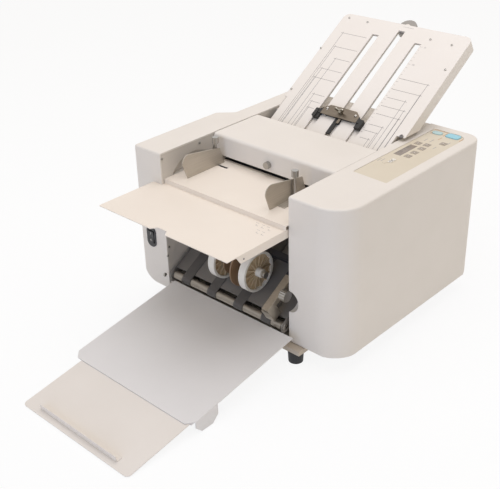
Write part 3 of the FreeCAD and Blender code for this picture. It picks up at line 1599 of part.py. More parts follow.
def power_switch():
    flange = prism_y(about(switch_x, switch_z, switch_width, switch_height, switch_radius), -bezel_rise, 0)
    body = prism_y(switch_body(0), 0, switch_body_depth)
    width = rocker_width + rocker_play * 2
    height = rocker_height + rocker_play * 2
    hole = prism_y(about(switch_x, switch_z, width, height), -overrun, overrun)
    pivot = (rocker_axle_depth, switch_z)
    reach = rocker_width / 2 + rocker_axle_length
    socket = rod_x(switch_x - reach - shaft_play, switch_x + reach + shaft_play, pivot,
                   rocker_axle + shaft_play)
    save("power_switch_bezel", join([flange, body]).cut(hole).cut(socket))
    half = rocker_height / 2
    back = rocker_depth - rocker_rise
    profile = [(-rocker_rise, switch_z - half, 0), (-rocker_rise + rocker_waist, switch_z, 0),
               (-rocker_rise, switch_z + half, 0), (back, switch_z + half - rocker_taper, 0),
               (back, switch_z - half + rocker_taper, 0)]
    rocker = prism_x(profile, switch_x - rocker_width / 2, switch_x + rocker_width / 2)
    save("power_rocker", join([rocker, rod_x(switch_x - reach, switch_x + reach, pivot, rocker_axle)]))


def power_inlet():
    flange = prism_y(about(inlet_x, inlet_z, inlet_width + inlet_flange * 2,
                           inlet_height + inlet_flange * 2,
                           inlet_flange), case_rear, case_rear + inlet_flange)
    body = prism_y(about(inlet_x, inlet_z, inlet_width, inlet_height), case_rear - inlet_depth, case_rear)
    mouth = prism_y(about(inlet_x, inlet_z, inlet_width - inlet_wall * 2, inlet_height - inlet_wall * 2),
                    case_rear - inlet_depth + inlet_wall, case_rear + overrun)
    shell = join([flange, body]).cut(mouth)
    pins = []
    start = case_rear - inlet_depth
    for step in (-1, 0, 1):
        pins.append(rod((inlet_x + inlet_pin_pitch * step, start, inlet_z), (0, 1, 0),
                        inlet_wall + inlet_pin_length, inlet_pin))
    save("power_inlet", join([shell] + pins))


left_side_cover()
right_side_cover()
top_cover()
rear_cover()
left_side_frame()
right_side_frame()
chassis_pan()
foot_brackets()
rubber_feet()
front_baffle()
pivot_pins()
feed_table()
feed_tray()
guides_and_screws()
separator_pad()
feed_pressure_knob()
rollers()
gears()
roller_bearings()
drive()
lower_fold_plate()
upper_fold_plate()
upper_plate_backing()
skew_dial()
paper_stop()
stop_knob()
conveyor_bed()
conveyor_rollers()
conveyor_belts()
stacker()
delivery_tray()
tray_extension()
control_panel()
push_key("start_key", start_key_x, start_key_y, start_key_width, start_key_length)
push_key("stop_key", stop_key_x, stop_key_y, stop_key_width, stop_key_length)
power_switch()
power_inlet()
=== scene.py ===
import math

import bmesh
import bpy
from mathutils import Matrix, Vector


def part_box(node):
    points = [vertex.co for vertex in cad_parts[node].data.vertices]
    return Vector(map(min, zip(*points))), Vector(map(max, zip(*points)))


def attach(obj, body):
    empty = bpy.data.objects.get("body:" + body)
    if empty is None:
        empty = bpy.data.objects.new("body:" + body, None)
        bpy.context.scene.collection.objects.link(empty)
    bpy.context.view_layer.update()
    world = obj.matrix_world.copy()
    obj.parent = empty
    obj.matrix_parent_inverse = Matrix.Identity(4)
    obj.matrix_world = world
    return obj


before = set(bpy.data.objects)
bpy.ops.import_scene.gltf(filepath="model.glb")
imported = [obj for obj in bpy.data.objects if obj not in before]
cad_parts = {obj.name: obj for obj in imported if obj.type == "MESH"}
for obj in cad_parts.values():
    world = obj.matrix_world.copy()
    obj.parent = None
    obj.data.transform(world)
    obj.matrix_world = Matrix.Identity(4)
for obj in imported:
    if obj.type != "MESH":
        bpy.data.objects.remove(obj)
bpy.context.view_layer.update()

# Places are taken in millimetres from the front face of the left cover, as the machine is laid
# out, and the frame starts under the middle of the whole machine.
layoutShift = -99.6429
# The upper edge of the fold plate, its slope, the middle of the paper's path, and the panel's top
plateTop = (588.015, 503.025)
plateSlope = math.radians(32.5)
pathMiddle = -12.0
panelTop = 345.4


def place(x, y, z):
    return Vector((x, y + layoutShift, z)) / 1000


# A place on the fold plate: across, down from its upper edge, and up from its face
def onPlate(x, down, lift=0.0):
    y = plateTop[0] - down * math.cos(plateSlope) - lift * math.sin(plateSlope)
    return place(x, y, plateTop[1] - down * math.sin(plateSlope) + lift * math.cos(plateSlope))


# Places on a level face of that height
def levelSeat(height):
    return lambda x, y, lift=0.0: place(x, y, height + lift)


# sRGB hex to linear
def toLinear(code):
    values = [int(code[i:i + 2], 16) / 255 for i in (1, 3, 5)]
    return [v / 12.92 if v <= 0.04045 else ((v + 0.055) / 1.055) ** 2.4 for v in values] + [1.0]


def addNode(tree, kind, settings, links):
    node = tree.nodes.new(kind)
    for name, value in settings.items():
        if isinstance(name, int) or name in node.inputs:
            node.inputs[name].default_value = value
        else:
            setattr(node, name, value)
    for name, source in links.items():
        tree.links.new(source, node.inputs[name])
    return node


# Camera at the photograph's viewing angle

print("folder: camera")
cameraLook = {"turn": 43.504, "rise": 28.791, "roll": -1.596, "lens": 65.63, "sensor": 36,
              "spot": (1086.07, -1085.10, 1049.65)}
turn = math.radians(cameraLook["turn"])
rise = math.radians(cameraLook["rise"])
roll = math.radians(cameraLook["roll"])
cameraBack = Vector((math.sin(turn) * math.cos(rise), -math.cos(turn) * math.cos(rise),
                     math.sin(rise)))
levelRight = Vector((math.cos(turn), math.sin(turn), 0))
levelUp = cameraBack.cross(levelRight)
cameraRight = levelRight * math.cos(roll) + levelUp * math.sin(roll)
cameraUp = levelUp * math.cos(roll) - levelRight * math.sin(roll)
bpy.ops.object.camera_add()
camera = bpy.context.object
camera.name = "photoCamera"
camera.data.lens = cameraLook["lens"]
camera.data.sensor_width = cameraLook["sensor"]
axes = Matrix((cameraRight, cameraUp, cameraBack)).transposed().to_4x4()
camera.matrix_world = Matrix.Translation(place(*cameraLook["spot"])) @ axes
bpy.context.scene.camera = camera
bpy.context.scene.view_settings.view_transform = "Standard"


# White studio: the world, a floor that keeps a faint shadow, and three soft lamps

print("folder: studio")
studio = {"worldLight": 0.54, "worldTint": "#FFF6EA",
          "floorSize": 14.0, "floorDrop": 0.0004, "floorWhite": "#FFFFFF", "shadowShare": 0.12,
          "lamps": [("overheadSoftbox", (0.05, 0.15, 2.4), (0, 0.15, 0.3), 2.2, 28.0, "#F9F8FF"),
                    ("frontFill", (0.7, -2.8, 0.8), (0, 0, 0.25), 1.8, 16.0, "#A0C6FF"),
                    ("rightFill", (2.7, 0.6, 1.0), (0, 0.1, 0.3), 1.4, 0.8, "#FFE0BC")]}
pureWhite = (1, 1, 1, 1)


# 1 where the camera sees a surface, straight or in metal or glass
def seenDirectly(tree):
    path = addNode(tree, "ShaderNodeLightPath", {}, {})
    straight = addNode(tree, "ShaderNodeMath", {"operation": "MAXIMUM"},
                       {0: path.outputs["Is Camera Ray"], 1: path.outputs["Is Glossy Ray"]})
    seen = addNode(tree, "ShaderNodeMath", {"operation": "MAXIMUM"},
                   {0: straight.outputs[0], 1: path.outputs["Is Transmission Ray"]})
    return seen.outputs[0]


world = bpy.data.worlds.new("whiteStudio")
bpy.context.scene.world = world
world.use_nodes = True
worldTree = world.node_tree
worldTree.nodes.clear()
strength = addNode(worldTree, "ShaderNodeMapRange",
                   {"To Min": studio["worldLight"], "To Max": 1.0},
                   {"Value": seenDirectly(worldTree)})
skyTint = addNode(worldTree, "ShaderNodeMix",
                  {"data_type": "RGBA", 6: toLinear(studio["worldTint"]), 7: pureWhite},
                  {0: seenDirectly(worldTree)})
sky = addNode(worldTree, "ShaderNodeBackground", {},
              {"Color": skyTint.outputs[2], "Strength": strength.outputs[0]})
addNode(worldTree, "ShaderNodeOutputWorld", {}, {"Surface": sky.outputs[0]})

bpy.ops.mesh.primitive_plane_add(size=studio["floorSize"], location=(0, 0, -studio["floorDrop"]))
floor = bpy.context.object
floor.name = "studioFloor"
# Matt white paper roll, which fades into the background
floorPaper = bpy.data.materials.new("seamlessPaper")
floorPaper.use_nodes = True
paperTree = floorPaper.node_tree
paperTree.nodes.clear()
matt = addNode(paperTree, "ShaderNodeBsdfDiffuse", {"Color": toLinear(studio["floorWhite"])}, {})
white = addNode(paperTree, "ShaderNodeEmission", {"Color": pureWhite, "Strength": 1.0}, {})
share = addNode(paperTree, "ShaderNodeMath",
                {"operation": "MULTIPLY", 1: 1 - studio["shadowShare"]},
                {0: seenDirectly(paperTree)})
blend = addNode(paperTree, "ShaderNodeMixShader", {},
                {0: share.outputs[0], 1: matt.outputs[0], 2: white.outputs[0]})
addNode(paperTree, "ShaderNodeOutputMaterial", {}, {"Surface": blend.outputs[0]})
floor.data.materials.append(floorPaper)

for lampName, spot, target, size, power, lampTint in studio["lamps"]:
    bpy.ops.object.light_add(type="AREA", location=spot)
    lamp = bpy.context.object
    lamp.name = lampName
    lamp.data.size = size
    lamp.data.energy = power
    lamp.data.color = toLinear(lampTint)[:3]
    lamp.rotation_euler = (Vector(target) - Vector(spot)).to_track_quat("-Z", "Y").to_euler()


# Finishes

print("folder: finishes")
# Detail of each pattern, its size over its depth, and how far the shine wanders with it
patternLook = {"driftDetail": 4.0, "grainDetail": 2.0, "lineDetail": 3.0,
               "grainPerDepth": 6.0, "linePerDepth": 10.0,
               "grainShine": (-0.05, 0.05), "lineShine": (-0.06, 0.08), "edgeSamples": 4}


def startMaterial(name):
    material = bpy.data.materials.new(name)
    material.use_nodes = True
    material.node_tree.nodes.clear()
    return material, material.node_tree


# Object coordinates, stretched where the look asks for it
def patternAt(tree, look):
    where = addNode(tree, "ShaderNodeTexCoord", {}, {})
    moved = addNode(tree, "ShaderNodeMapping", {"Scale": look.get("stretch", (1, 1, 1))},
                    {"Vector": where.outputs["Object"]})
    return moved.outputs[0]


# The face with its grain, and with edges softened by their radius
def grainedFace(tree, look, grain):
    edge = addNode(tree, "ShaderNodeBevel",
                   {"samples": patternLook["edgeSamples"], "Radius": look["edgeMm"] / 1000}, {})
    depth = look["grainMm"] / 1000 / patternLook["grainPerDepth"]
    bump = addNode(tree, "ShaderNodeBump", {"Strength": look["bump"], "Distance": depth},
                   {"Height": grain.outputs[0], "Normal": edge.outputs[0]})
    return bump.outputs[0]


# Two colours, each drifting between its own light and dark: one where the factor is 0, and one
# where it is 1
def pairOfTones(tree, first, second, drift, factor):
    plain = addNode(tree, "ShaderNodeMix",
                    {"data_type": "RGBA", 6: toLinear(first[0]), 7: toLinear(first[1])},
                    {0: drift.outputs[0]})
    other = addNode(tree, "ShaderNodeMix",
                    {"data_type": "RGBA", 6: toLinear(second[0]), 7: toLinear(second[1])},
                    {0: drift.outputs[0]})
    tone = addNode(tree, "ShaderNodeMix", {"data_type": "RGBA"},
                   {0: factor.outputs[0], 6: plain.outputs[2], 7: other.outputs[2]})
    return tone.outputs[2]


# Moulded plastic, paint and rubber: a fine grain and a slow drift of tone
def grainedFinish(name, look):
    material, tree = startMaterial(name)
    where = patternAt(tree, look)
    drift = addNode(tree, "ShaderNodeTexNoise",
                    {"Scale": 1000 / look["driftMm"], "Detail": patternLook["driftDetail"]},
                    {"Vector": where})
    grain = addNode(tree, "ShaderNodeTexNoise",
                    {"Scale": 1000 / look["grainMm"], "Detail": patternLook["grainDetail"]},
                    {"Vector": where})
    tone = addNode(tree, "ShaderNodeMix",
                   {"data_type": "RGBA", 6: toLinear(look["light"]), 7: toLinear(look["dark"])},
                   {0: drift.outputs[0]})
    low, high = patternLook["grainShine"]
    rough = addNode(tree, "ShaderNodeMapRange",
                    {"To Min": look["rough"] + low, "To Max": look["rough"] + high},
                    {"Value": grain.outputs[0]})
    body = addNode(tree, "ShaderNodeBsdfPrincipled", {"IOR": look["ior"]},
                   {"Base Color": tone.outputs[2], "Roughness": rough.outputs[0],
                    "Normal": grainedFace(tree, look, grain)})
    addNode(tree, "ShaderNodeOutputMaterial", {}, {"Surface": body.outputs[0]})
    return material


# Bare and plated steel: brush or grinding lines drawn out along one axis
def metalFinish(name, look):
    material, tree = startMaterial(name)
    lines = addNode(tree, "ShaderNodeTexNoise",
                    {"Scale": 1000 / look["lineMm"], "Detail": patternLook["lineDetail"]},
                    {"Vector": patternAt(tree, look)})
    tone = addNode(tree, "ShaderNodeMix",
                   {"data_type": "RGBA", 6: toLinear(look["light"]), 7: toLinear(look["dark"])},
                   {0: lines.outputs[0]})
    depth = look["lineMm"] / 1000 / patternLook["linePerDepth"]
    bump = addNode(tree, "ShaderNodeBump", {"Strength": look["bump"], "Distance": depth},
                   {"Height": lines.outputs[0]})
    low, high = patternLook["lineShine"]
    rough = addNode(tree, "ShaderNodeMapRange",
                    {"To Min": look["rough"] + low, "To Max": look["rough"] + high},
                    {"Value": lines.outputs[0]})
    body = addNode(tree, "ShaderNodeBsdfPrincipled", {"Metallic": 1.0},
                   {"Base Color": tone.outputs[2], "Roughness": rough.outputs[0],
                    "Normal": bump.outputs[0]})
    addNode(tree, "ShaderNodeOutputMaterial", {}, {"Surface": body.outputs[0]})
    return material


# One colour inside a ring about an axle that runs along X, and another outside it
def ringedFinish(name, look):
    material, tree = startMaterial(name)
    where = addNode(tree, "ShaderNodeTexCoord", {}, {}).outputs["Object"]
    axle = place(0, *look["axle"])
    across = addNode(tree, "ShaderNodeMapping",
                     {"Scale": (0, 1, 1), "Location": (0, -axle.y, -axle.z)}, {"Vector": where})
    reach = addNode(tree, "ShaderNodeVectorMath", {"operation": "LENGTH"},
                    {0: across.outputs[0]})
    outside = addNode(tree, "ShaderNodeMath",
                      {"operation": "GREATER_THAN", 1: look["fromMm"] / 1000},
                      {0: reach.outputs["Value"]})
    inside = addNode(tree, "ShaderNodeMath",
                     {"operation": "LESS_THAN", 1: look["toMm"] / 1000},
                     {0: reach.outputs["Value"]})
    ring = addNode(tree, "ShaderNodeMath", {"operation": "MULTIPLY"},
                   {0: outside.outputs[0], 1: inside.outputs[0]})
    drift = addNode(tree, "ShaderNodeTexNoise",
                    {"Scale": 1000 / look["driftMm"], "Detail": patternLook["driftDetail"]},
                    {"Vector": where})
    grain = addNode(tree, "ShaderNodeTexNoise",
                    {"Scale": 1000 / look["grainMm"], "Detail": patternLook["grainDetail"]},
                    {"Vector": where})
    around = addNode(tree, "ShaderNodeMath", {"operation": "SUBTRACT", 0: 1.0},
                     {1: ring.outputs[0]})
    metal = addNode(tree, "ShaderNodeMath", {"operation": "MULTIPLY", 1: look["outerMetal"]},
                    {0: around.outputs[0]})
    body = addNode(tree, "ShaderNodeBsdfPrincipled",
                   {"IOR": look["ior"], "Roughness": look["rough"]},
                   {"Base Color": pairOfTones(tree, look["outer"], look["ring"], drift, ring),
                    "Metallic": metal.outputs[0], "Normal": grainedFace(tree, look, grain)})
    addNode(tree, "ShaderNodeOutputMaterial", {}, {"Surface": body.outputs[0]})
    return material


# One finish up to a plane across an axis, and another past it
def splitFinish(name, look):
    material, tree = startMaterial(name)
    where = addNode(tree, "ShaderNodeTexCoord", {}, {}).outputs["Object"]
    parts = addNode(tree, "ShaderNodeSeparateXYZ", {}, {"Vector": where})
    past = addNode(tree, "ShaderNodeMath",
                   {"operation": "GREATER_THAN", 1: look["limitMm"] / 1000},
                   {0: parts.outputs[look["axis"]]})
    drift = addNode(tree, "ShaderNodeTexNoise",
                    {"Scale": 1000 / look["driftMm"], "Detail": patternLook["driftDetail"]},
                    {"Vector": where})
    grain = addNode(tree, "ShaderNodeTexNoise",
                    {"Scale": 1000 / look["grainMm"], "Detail": patternLook["grainDetail"]},
                    {"Vector": where})
    metal = addNode(tree, "ShaderNodeMapRange", {"To Min": look["nearMetal"], "To Max": 0.0},
                    {"Value": past.outputs[0]})
    body = addNode(tree, "ShaderNodeBsdfPrincipled", {"Roughness": look["rough"]},
                   {"Base Color": pairOfTones(tree, look["near"], look["far"], drift, past),
                    "Metallic": metal.outputs[0], "Normal": grainedFace(tree, look, grain)})
    addNode(tree, "ShaderNodeOutputMaterial", {}, {"Surface": body.outputs[0]})
    return material


# The bridge of the paper stop is metal between its shoes. What stands under it or caps its ends
# is rubber.
def stopFinish(name, look):
    material, tree = startMaterial(name)
    where = addNode(tree, "ShaderNodeTexCoord", {}, {}).outputs["Object"]
    fromTop = addNode(tree, "ShaderNodeVectorMath",
                      {"operation": "SUBTRACT", 1: place(pathMiddle, *plateTop)}, {0: where})
    flat = addNode(tree, "ShaderNodeMapping", {"Rotation": (-plateSlope, 0, 0)},
                   {"Vector": fromTop.outputs[0]})
    parts = addNode(tree, "ShaderNodeSeparateXYZ", {}, {"Vector": flat.outputs[0]})
    under = addNode(tree, "ShaderNodeMath",
                    {"operation": "LESS_THAN", 1: look["underMm"] / 1000},
                    {0: parts.outputs["Z"]})
    above = addNode(tree, "ShaderNodeMath",
                    {"operation": "GREATER_THAN", 1: look["overMm"] / 1000},
                    {0: parts.outputs["Z"]})
    across = addNode(tree, "ShaderNodeMath", {"operation": "ABSOLUTE"}, {0: parts.outputs["X"]})
    end = addNode(tree, "ShaderNodeMath",
                  {"operation": "GREATER_THAN", 1: look["endMm"] / 1000}, {0: across.outputs[0]})
    pad = addNode(tree, "ShaderNodeMath", {"operation": "MULTIPLY"},
                  {0: under.outputs[0], 1: above.outputs[0]})
    rubber = addNode(tree, "ShaderNodeMath", {"operation": "MAXIMUM"},
                     {0: pad.outputs[0], 1: end.outputs[0]})
    lines = addNode(tree, "ShaderNodeTexNoise",
                    {"Scale": 1000 / look["lineMm"], "Detail": patternLook["lineDetail"]},
                    {"Vector": patternAt(tree, look)})
    steel = addNode(tree, "ShaderNodeMix",
                    {"data_type": "RGBA", 6: toLinear(look["light"]), 7: toLinear(look["dark"])},
                    {0: lines.outputs[0]})
    tone = addNode(tree, "ShaderNodeMix", {"data_type": "RGBA", 7: toLinear(look["rubber"])},
                   {0: rubber.outputs[0], 6: steel.outputs[2]})
    metal = addNode(tree, "ShaderNodeMath", {"operation": "SUBTRACT", 0: 1.0},
                    {1: rubber.outputs[0]})
    dull = addNode(tree, "ShaderNodeMath",
                   {"operation": "MULTIPLY_ADD", 1: look["rubberDull"], 2: look["rough"]},
                   {0: rubber.outputs[0]})
    depth = look["lineMm"] / 1000 / patternLook["linePerDepth"]
    bump = addNode(tree, "ShaderNodeBump", {"Strength": look["bump"], "Distance": depth},
                   {"Height": lines.outputs[0]})
    body = addNode(tree, "ShaderNodeBsdfPrincipled", {},
                   {"Base Color": tone.outputs[2], "Metallic": metal.outputs[0],
                    "Roughness": dull.outputs[0], "Normal": bump.outputs[0]})
    addNode(tree, "ShaderNodeOutputMaterial", {}, {"Surface": body.outputs[0]})
    return material


# Moulded ABS, spark-eroded: an even eggshell grain with a soft broad shine. Grain drawn at 1.2
# mm, coarser than real
coverAbs = grainedFinish("mouldedAbsOffWhite", {
    "light": "#EAE4DC", "dark": "#E3DDD4", "driftMm": 90, "grainMm": 1.2, "edgeMm": 0.6,
    "bump": 0.22, "rough": 0.46, "ior": 1.54})
# Powder-coated steel, cream: slight orange peel and a satin gloss, on the feed table and tray
creamCoat = grainedFinish("powderCoatCream", {
    "light": "#F4EBDF", "dark": "#EDE3D6", "driftMm": 120, "grainMm": 2.2, "edgeMm": 0.5,
    "bump": 0.14, "rough": 0.42, "ior": 1.5})
# Powder-coated steel, off-white: the fold plate, flat and satin
plateCoat = grainedFinish("powderCoatOffWhite", {
    "light": "#F1ECE5", "dark": "#EBE4DB", "driftMm": 140, "grainMm": 2.2, "edgeMm": 0.5,
    "bump": 0.12, "rough": 0.44, "ior": 1.5})
# Powder-coated steel, warm grey: the frames and the pan, the covers' off-white darkened a little
# as painted shade, and a little duller than the covers
frameCoat = grainedFinish("powderCoatWarmGrey", {
    "light": "#D5CFC6", "dark": "#CCC5BB", "driftMm": 100, "grainMm": 2.0, "edgeMm": 0.5,
    "bump": 0.15, "rough": 0.5, "ior": 1.5})
# Powder-coated steel, light grey: the delivery tray
trayCoat = grainedFinish("powderCoatLightGrey", {
    "light": "#EAE8E6", "dark": "#E2E0DE", "driftMm": 130, "grainMm": 2.2, "edgeMm": 0.5,
    "bump": 0.14, "rough": 0.42, "ior": 1.5})
# Powder-coated steel, pale cream grey: the pull-out tray
extensionCoat = grainedFinish("powderCoatPaleCream", {
    "light": "#EEE8E0", "dark": "#E6DFD6", "driftMm": 130, "grainMm": 2.2, "edgeMm": 0.5,
    "bump": 0.14, "rough": 0.42, "ior": 1.5})
# Enamelled steel, beige: the foot brackets
bracketCoat = grainedFinish("enamelBeige", {
    "light": "#CFC2B1", "dark": "#C4B6A4", "driftMm": 40, "grainMm": 1.6, "edgeMm": 0.4,
    "bump": 0.12, "rough": 0.4, "ior": 1.5})
# Powder-coated steel, mid grey: the conveyor bed between the belts. Its outer cheek, seen through
# the finger scoop, is painted pale: painted light for the lit hollow of a shallower scoop
bedCoat = splitFinish("powderCoatMidGreyPaintedLitCheek", {
    "axis": "X", "limitMm": 137.7, "near": ("#7F7A74", "#726D67"), "far": ("#E6E1DC", "#DCD7D2"),
    "nearMetal": 0.0, "driftMm": 70, "grainMm": 2.0, "edgeMm": 0.2, "bump": 0.14, "rough": 0.46})
# Powder-coated steel baffle behind the wheels, painted black as painted shade that swallows the
# light there
baffleShadeBlack = grainedFinish("powderCoatBlackPaintedShade", {
    "light": "#2C2C30", "dark": "#252528", "driftMm": 80, "grainMm": 2.0, "edgeMm": 0.4,
    "bump": 0.16, "rough": 0.52, "ior": 1.5})
# Brushed stainless steel: long soft streaks, on the paper guides
guideSteel = metalFinish("brushedStainless", {
    "light": "#CDC6BB", "dark": "#B4ACA0", "lineMm": 1.6, "stretch": (1, 0.03, 1), "bump": 0.1,
    "rough": 0.5})
# Steel roller with a dulled, paper-worn face: grey-brown, at the front end of the belts
wornSteel = metalFinish("paperWornSteel", {
    "light": "#A29A90", "dark": "#7F776D", "lineMm": 3.0, "stretch": (0.1, 1, 1), "bump": 0.06,
    "rough": 0.44})
# Ground steel: fine lines and a tight bright shine, on pins, bearings and the rear roller
shaftSteel = metalFinish("groundSteel", {
    "light": "#CFCDC8", "dark": "#B9B6B0", "lineMm": 0.9, "stretch": (0.05, 1, 1), "bump": 0.05,
    "rough": 0.24})
# Zinc-plated steel: a cloudy grey sheen, on the lower fold plate and its stop
zincSteel = metalFinish("zincPlatedSteel", {
    "light": "#C3C2BE", "dark": "#A7A6A2", "lineMm": 7.0, "bump": 0.06, "rough": 0.38})
# Bronzed steel: dark and warm with a soft streak of light, on the bridge of the paper stop. Its
# shoes and pad are black rubber, which hardly shines
stopSteel = stopFinish("bronzedSteelBlackRubber", {
    "light": "#857A6C", "dark": "#62584D", "rubber": "#26231F", "lineMm": 1.4,
    "stretch": (0.04, 1, 1), "bump": 0.08, "rough": 0.36, "underMm": 5.9, "overMm": -0.5,
    "endMm": 46.5, "rubberDull": 0.3})
# Polyurethane fold-roller sleeves: dark, ground matt, with a faint tone along the face
rollerRubber = grainedFinish("groundPolyurethane", {
    "light": "#4A4744", "dark": "#3E3B39", "driftMm": 25, "grainMm": 0.9, "edgeMm": 0.3,
    "bump": 0.3, "rough": 0.62, "ior": 1.5})
# EPDM rubber: soft black-brown, nearly without shine, on the feed roller and the separator
feedRubber = grainedFinish("epdmRubber", {
    "light": "#55504A", "dark": "#48433E", "driftMm": 18, "grainMm": 0.8, "edgeMm": 0.3,
    "bump": 0.3, "rough": 0.72, "ior": 1.52})
# Natural black rubber: the feet, dull with a slight bloom. It is also the finish of the black
# sheet of painted shade in the mouth
footRubberAndShadeSheet = grainedFinish("blackRubberAndPaintedShade", {
    "light": "#232325", "dark": "#1B1B1D", "driftMm": 12, "grainMm": 1.0, "edgeMm": 0.8,
    "bump": 0.25, "rough": 0.6, "ior": 1.52})
# Woven polyester belting, dark grey: a cloth texture along the belts, drawn at 1 mm
beltCloth = grainedFinish("polyesterBelting", {
    "light": "#605C58", "dark": "#534F4B", "driftMm": 20, "grainMm": 1.0, "stretch": (1, 0.6, 0.6),
    "edgeMm": 0.3, "bump": 0.4, "rough": 0.7, "ior": 1.5})
# Neoprene timing belt: black and matt, round the pulleys
timingRubber = grainedFinish("neopreneBlack", {
    "light": "#2A2A2C", "dark": "#202022", "driftMm": 15, "grainMm": 0.9, "edgeMm": 0.3,
    "bump": 0.3, "rough": 0.66, "ior": 1.52})
# Turned aluminium: fine rings and a pale cool shine, on the knobs
turnedAluminium = metalFinish("turnedAluminium", {
    "light": "#BDBAB5", "dark": "#98948E", "lineMm": 0.9, "stretch": (1, 0.2, 0.2), "bump": 0.08,
    "rough": 0.32})
# Nickel-plated brass: a warm bronze grey, on the wing screw of the paper stop
nickelBrass = metalFinish("agedNickelBrass", {
    "light": "#D2CBBD", "dark": "#4E463B", "lineMm": 5.0, "bump": 0.08, "rough": 0.26})
# Zinc-plated steel, yellow passivated: brownish grey with pale edges, on the stacker arm, whose
# cross bar is black
armSteel = splitFinish("passivatedZincSteelBlackBar", {
    "axis": "Z", "limitMm": 158.0, "near": ("#C6BEB1", "#A9A093"), "far": ("#323134", "#28272A"),
    "nearMetal": 1.0, "driftMm": 5, "grainMm": 1.5, "edgeMm": 0.3, "bump": 0.08, "rough": 0.4})
# Acetal, natural white: waxy and smooth, on the gears and the motor's pulley
whiteAcetal = grainedFinish("acetalNatural", {
    "light": "#EDEAE2", "dark": "#E4E0D6", "driftMm": 16, "grainMm": 0.8, "edgeMm": 0.25,
    "bump": 0.1, "rough": 0.34, "ior": 1.48})
# ABS, black, lightly polished: switch and inlet
blackAbs = grainedFinish("polishedAbsBlack", {
    "light": "#232325", "dark": "#1C1C1E", "driftMm": 15, "grainMm": 0.8, "edgeMm": 0.6,
    "bump": 0.1, "rough": 0.34, "ior": 1.54})
# ABS, mid grey, grained: the dial
greyAbs = grainedFinish("mouldedAbsGrey", {
    "light": "#A39E97", "dark": "#97928A", "driftMm": 14, "grainMm": 0.9, "edgeMm": 0.5,
    "bump": 0.2, "rough": 0.42, "ior": 1.54})
# Polyester membrane film, tan: a fine velvet texture, drawn at 0.9 mm, over the keys
panelFilm = grainedFinish("polyesterFilmTan", {
    "light": "#DDD3BE", "dark": "#D5CAB5", "driftMm": 60, "grainMm": 0.9, "edgeMm": 0.5,
    "bump": 0.14, "rough": 0.4, "ior": 1.58})
# Polycarbonate over an unlit display: smooth grey-brown with a sharper shine
windowPc = grainedFinish("smokedPolycarbonate", {
    "light": "#9A8F84", "dark": "#8F8479", "driftMm": 30, "grainMm": 3.0, "edgeMm": 0.3,
    "bump": 0.02, "rough": 0.14, "ior": 1.585})
# Silicone keys, printed pale blue: soft, faintly see-through in tone
startSilicone = grainedFinish("siliconeSkyBlue", {
    "light": "#A2D8E6", "dark": "#93CCDD", "driftMm": 12, "grainMm": 0.8, "edgeMm": 0.8,
    "bump": 0.1, "rough": 0.42, "ior": 1.43})
stopSilicone = grainedFinish("siliconePaleBlue", {
    "light": "#BFDCDD", "dark": "#B4D2D4", "driftMm": 12, "grainMm": 0.8, "edgeMm": 0.8,
    "bump": 0.1, "rough": 0.42, "ior": 1.43})
# Black-stoved steel: the motor can, with a low oily shine
motorCoat = grainedFinish("stovedSteelBlack", {
    "light": "#38383A", "dark": "#2D2D2F", "driftMm": 30, "grainMm": 1.2, "edgeMm": 0.5,
    "bump": 0.1, "rough": 0.36, "ior": 1.5})
# Nylon wheels, white outside with a tan ribbed middle
wheelNylon = ringedFinish("mouldedNylonWhiteTan", {
    "axle": (33.576, 148.646), "fromMm": 9.4, "toMm": 36.9, "outer": ("#EFECE4", "#E6E2D8"),
    "ring": ("#CDBA9C", "#B7A284"), "outerMetal": 0.0, "bump": 0.12, "driftMm": 18, "grainMm": 0.9,
    "edgeMm": 0.8, "rough": 0.38, "ior": 1.53})
# Ground steel axle with two brown phenolic discs on it
axleSteel = ringedFinish("groundSteelAxleBrownDiscs", {
    "axle": (33.576, 148.646), "fromMm": 9.4, "toMm": 60, "outer": ("#D5D2CC", "#C2BFB8"),
    "ring": ("#9A7F66", "#84694F"), "outerMetal": 1.0, "bump": 0.12, "driftMm": 14, "grainMm": 0.9,
    "edgeMm": 0.4, "rough": 0.36, "ior": 1.5})

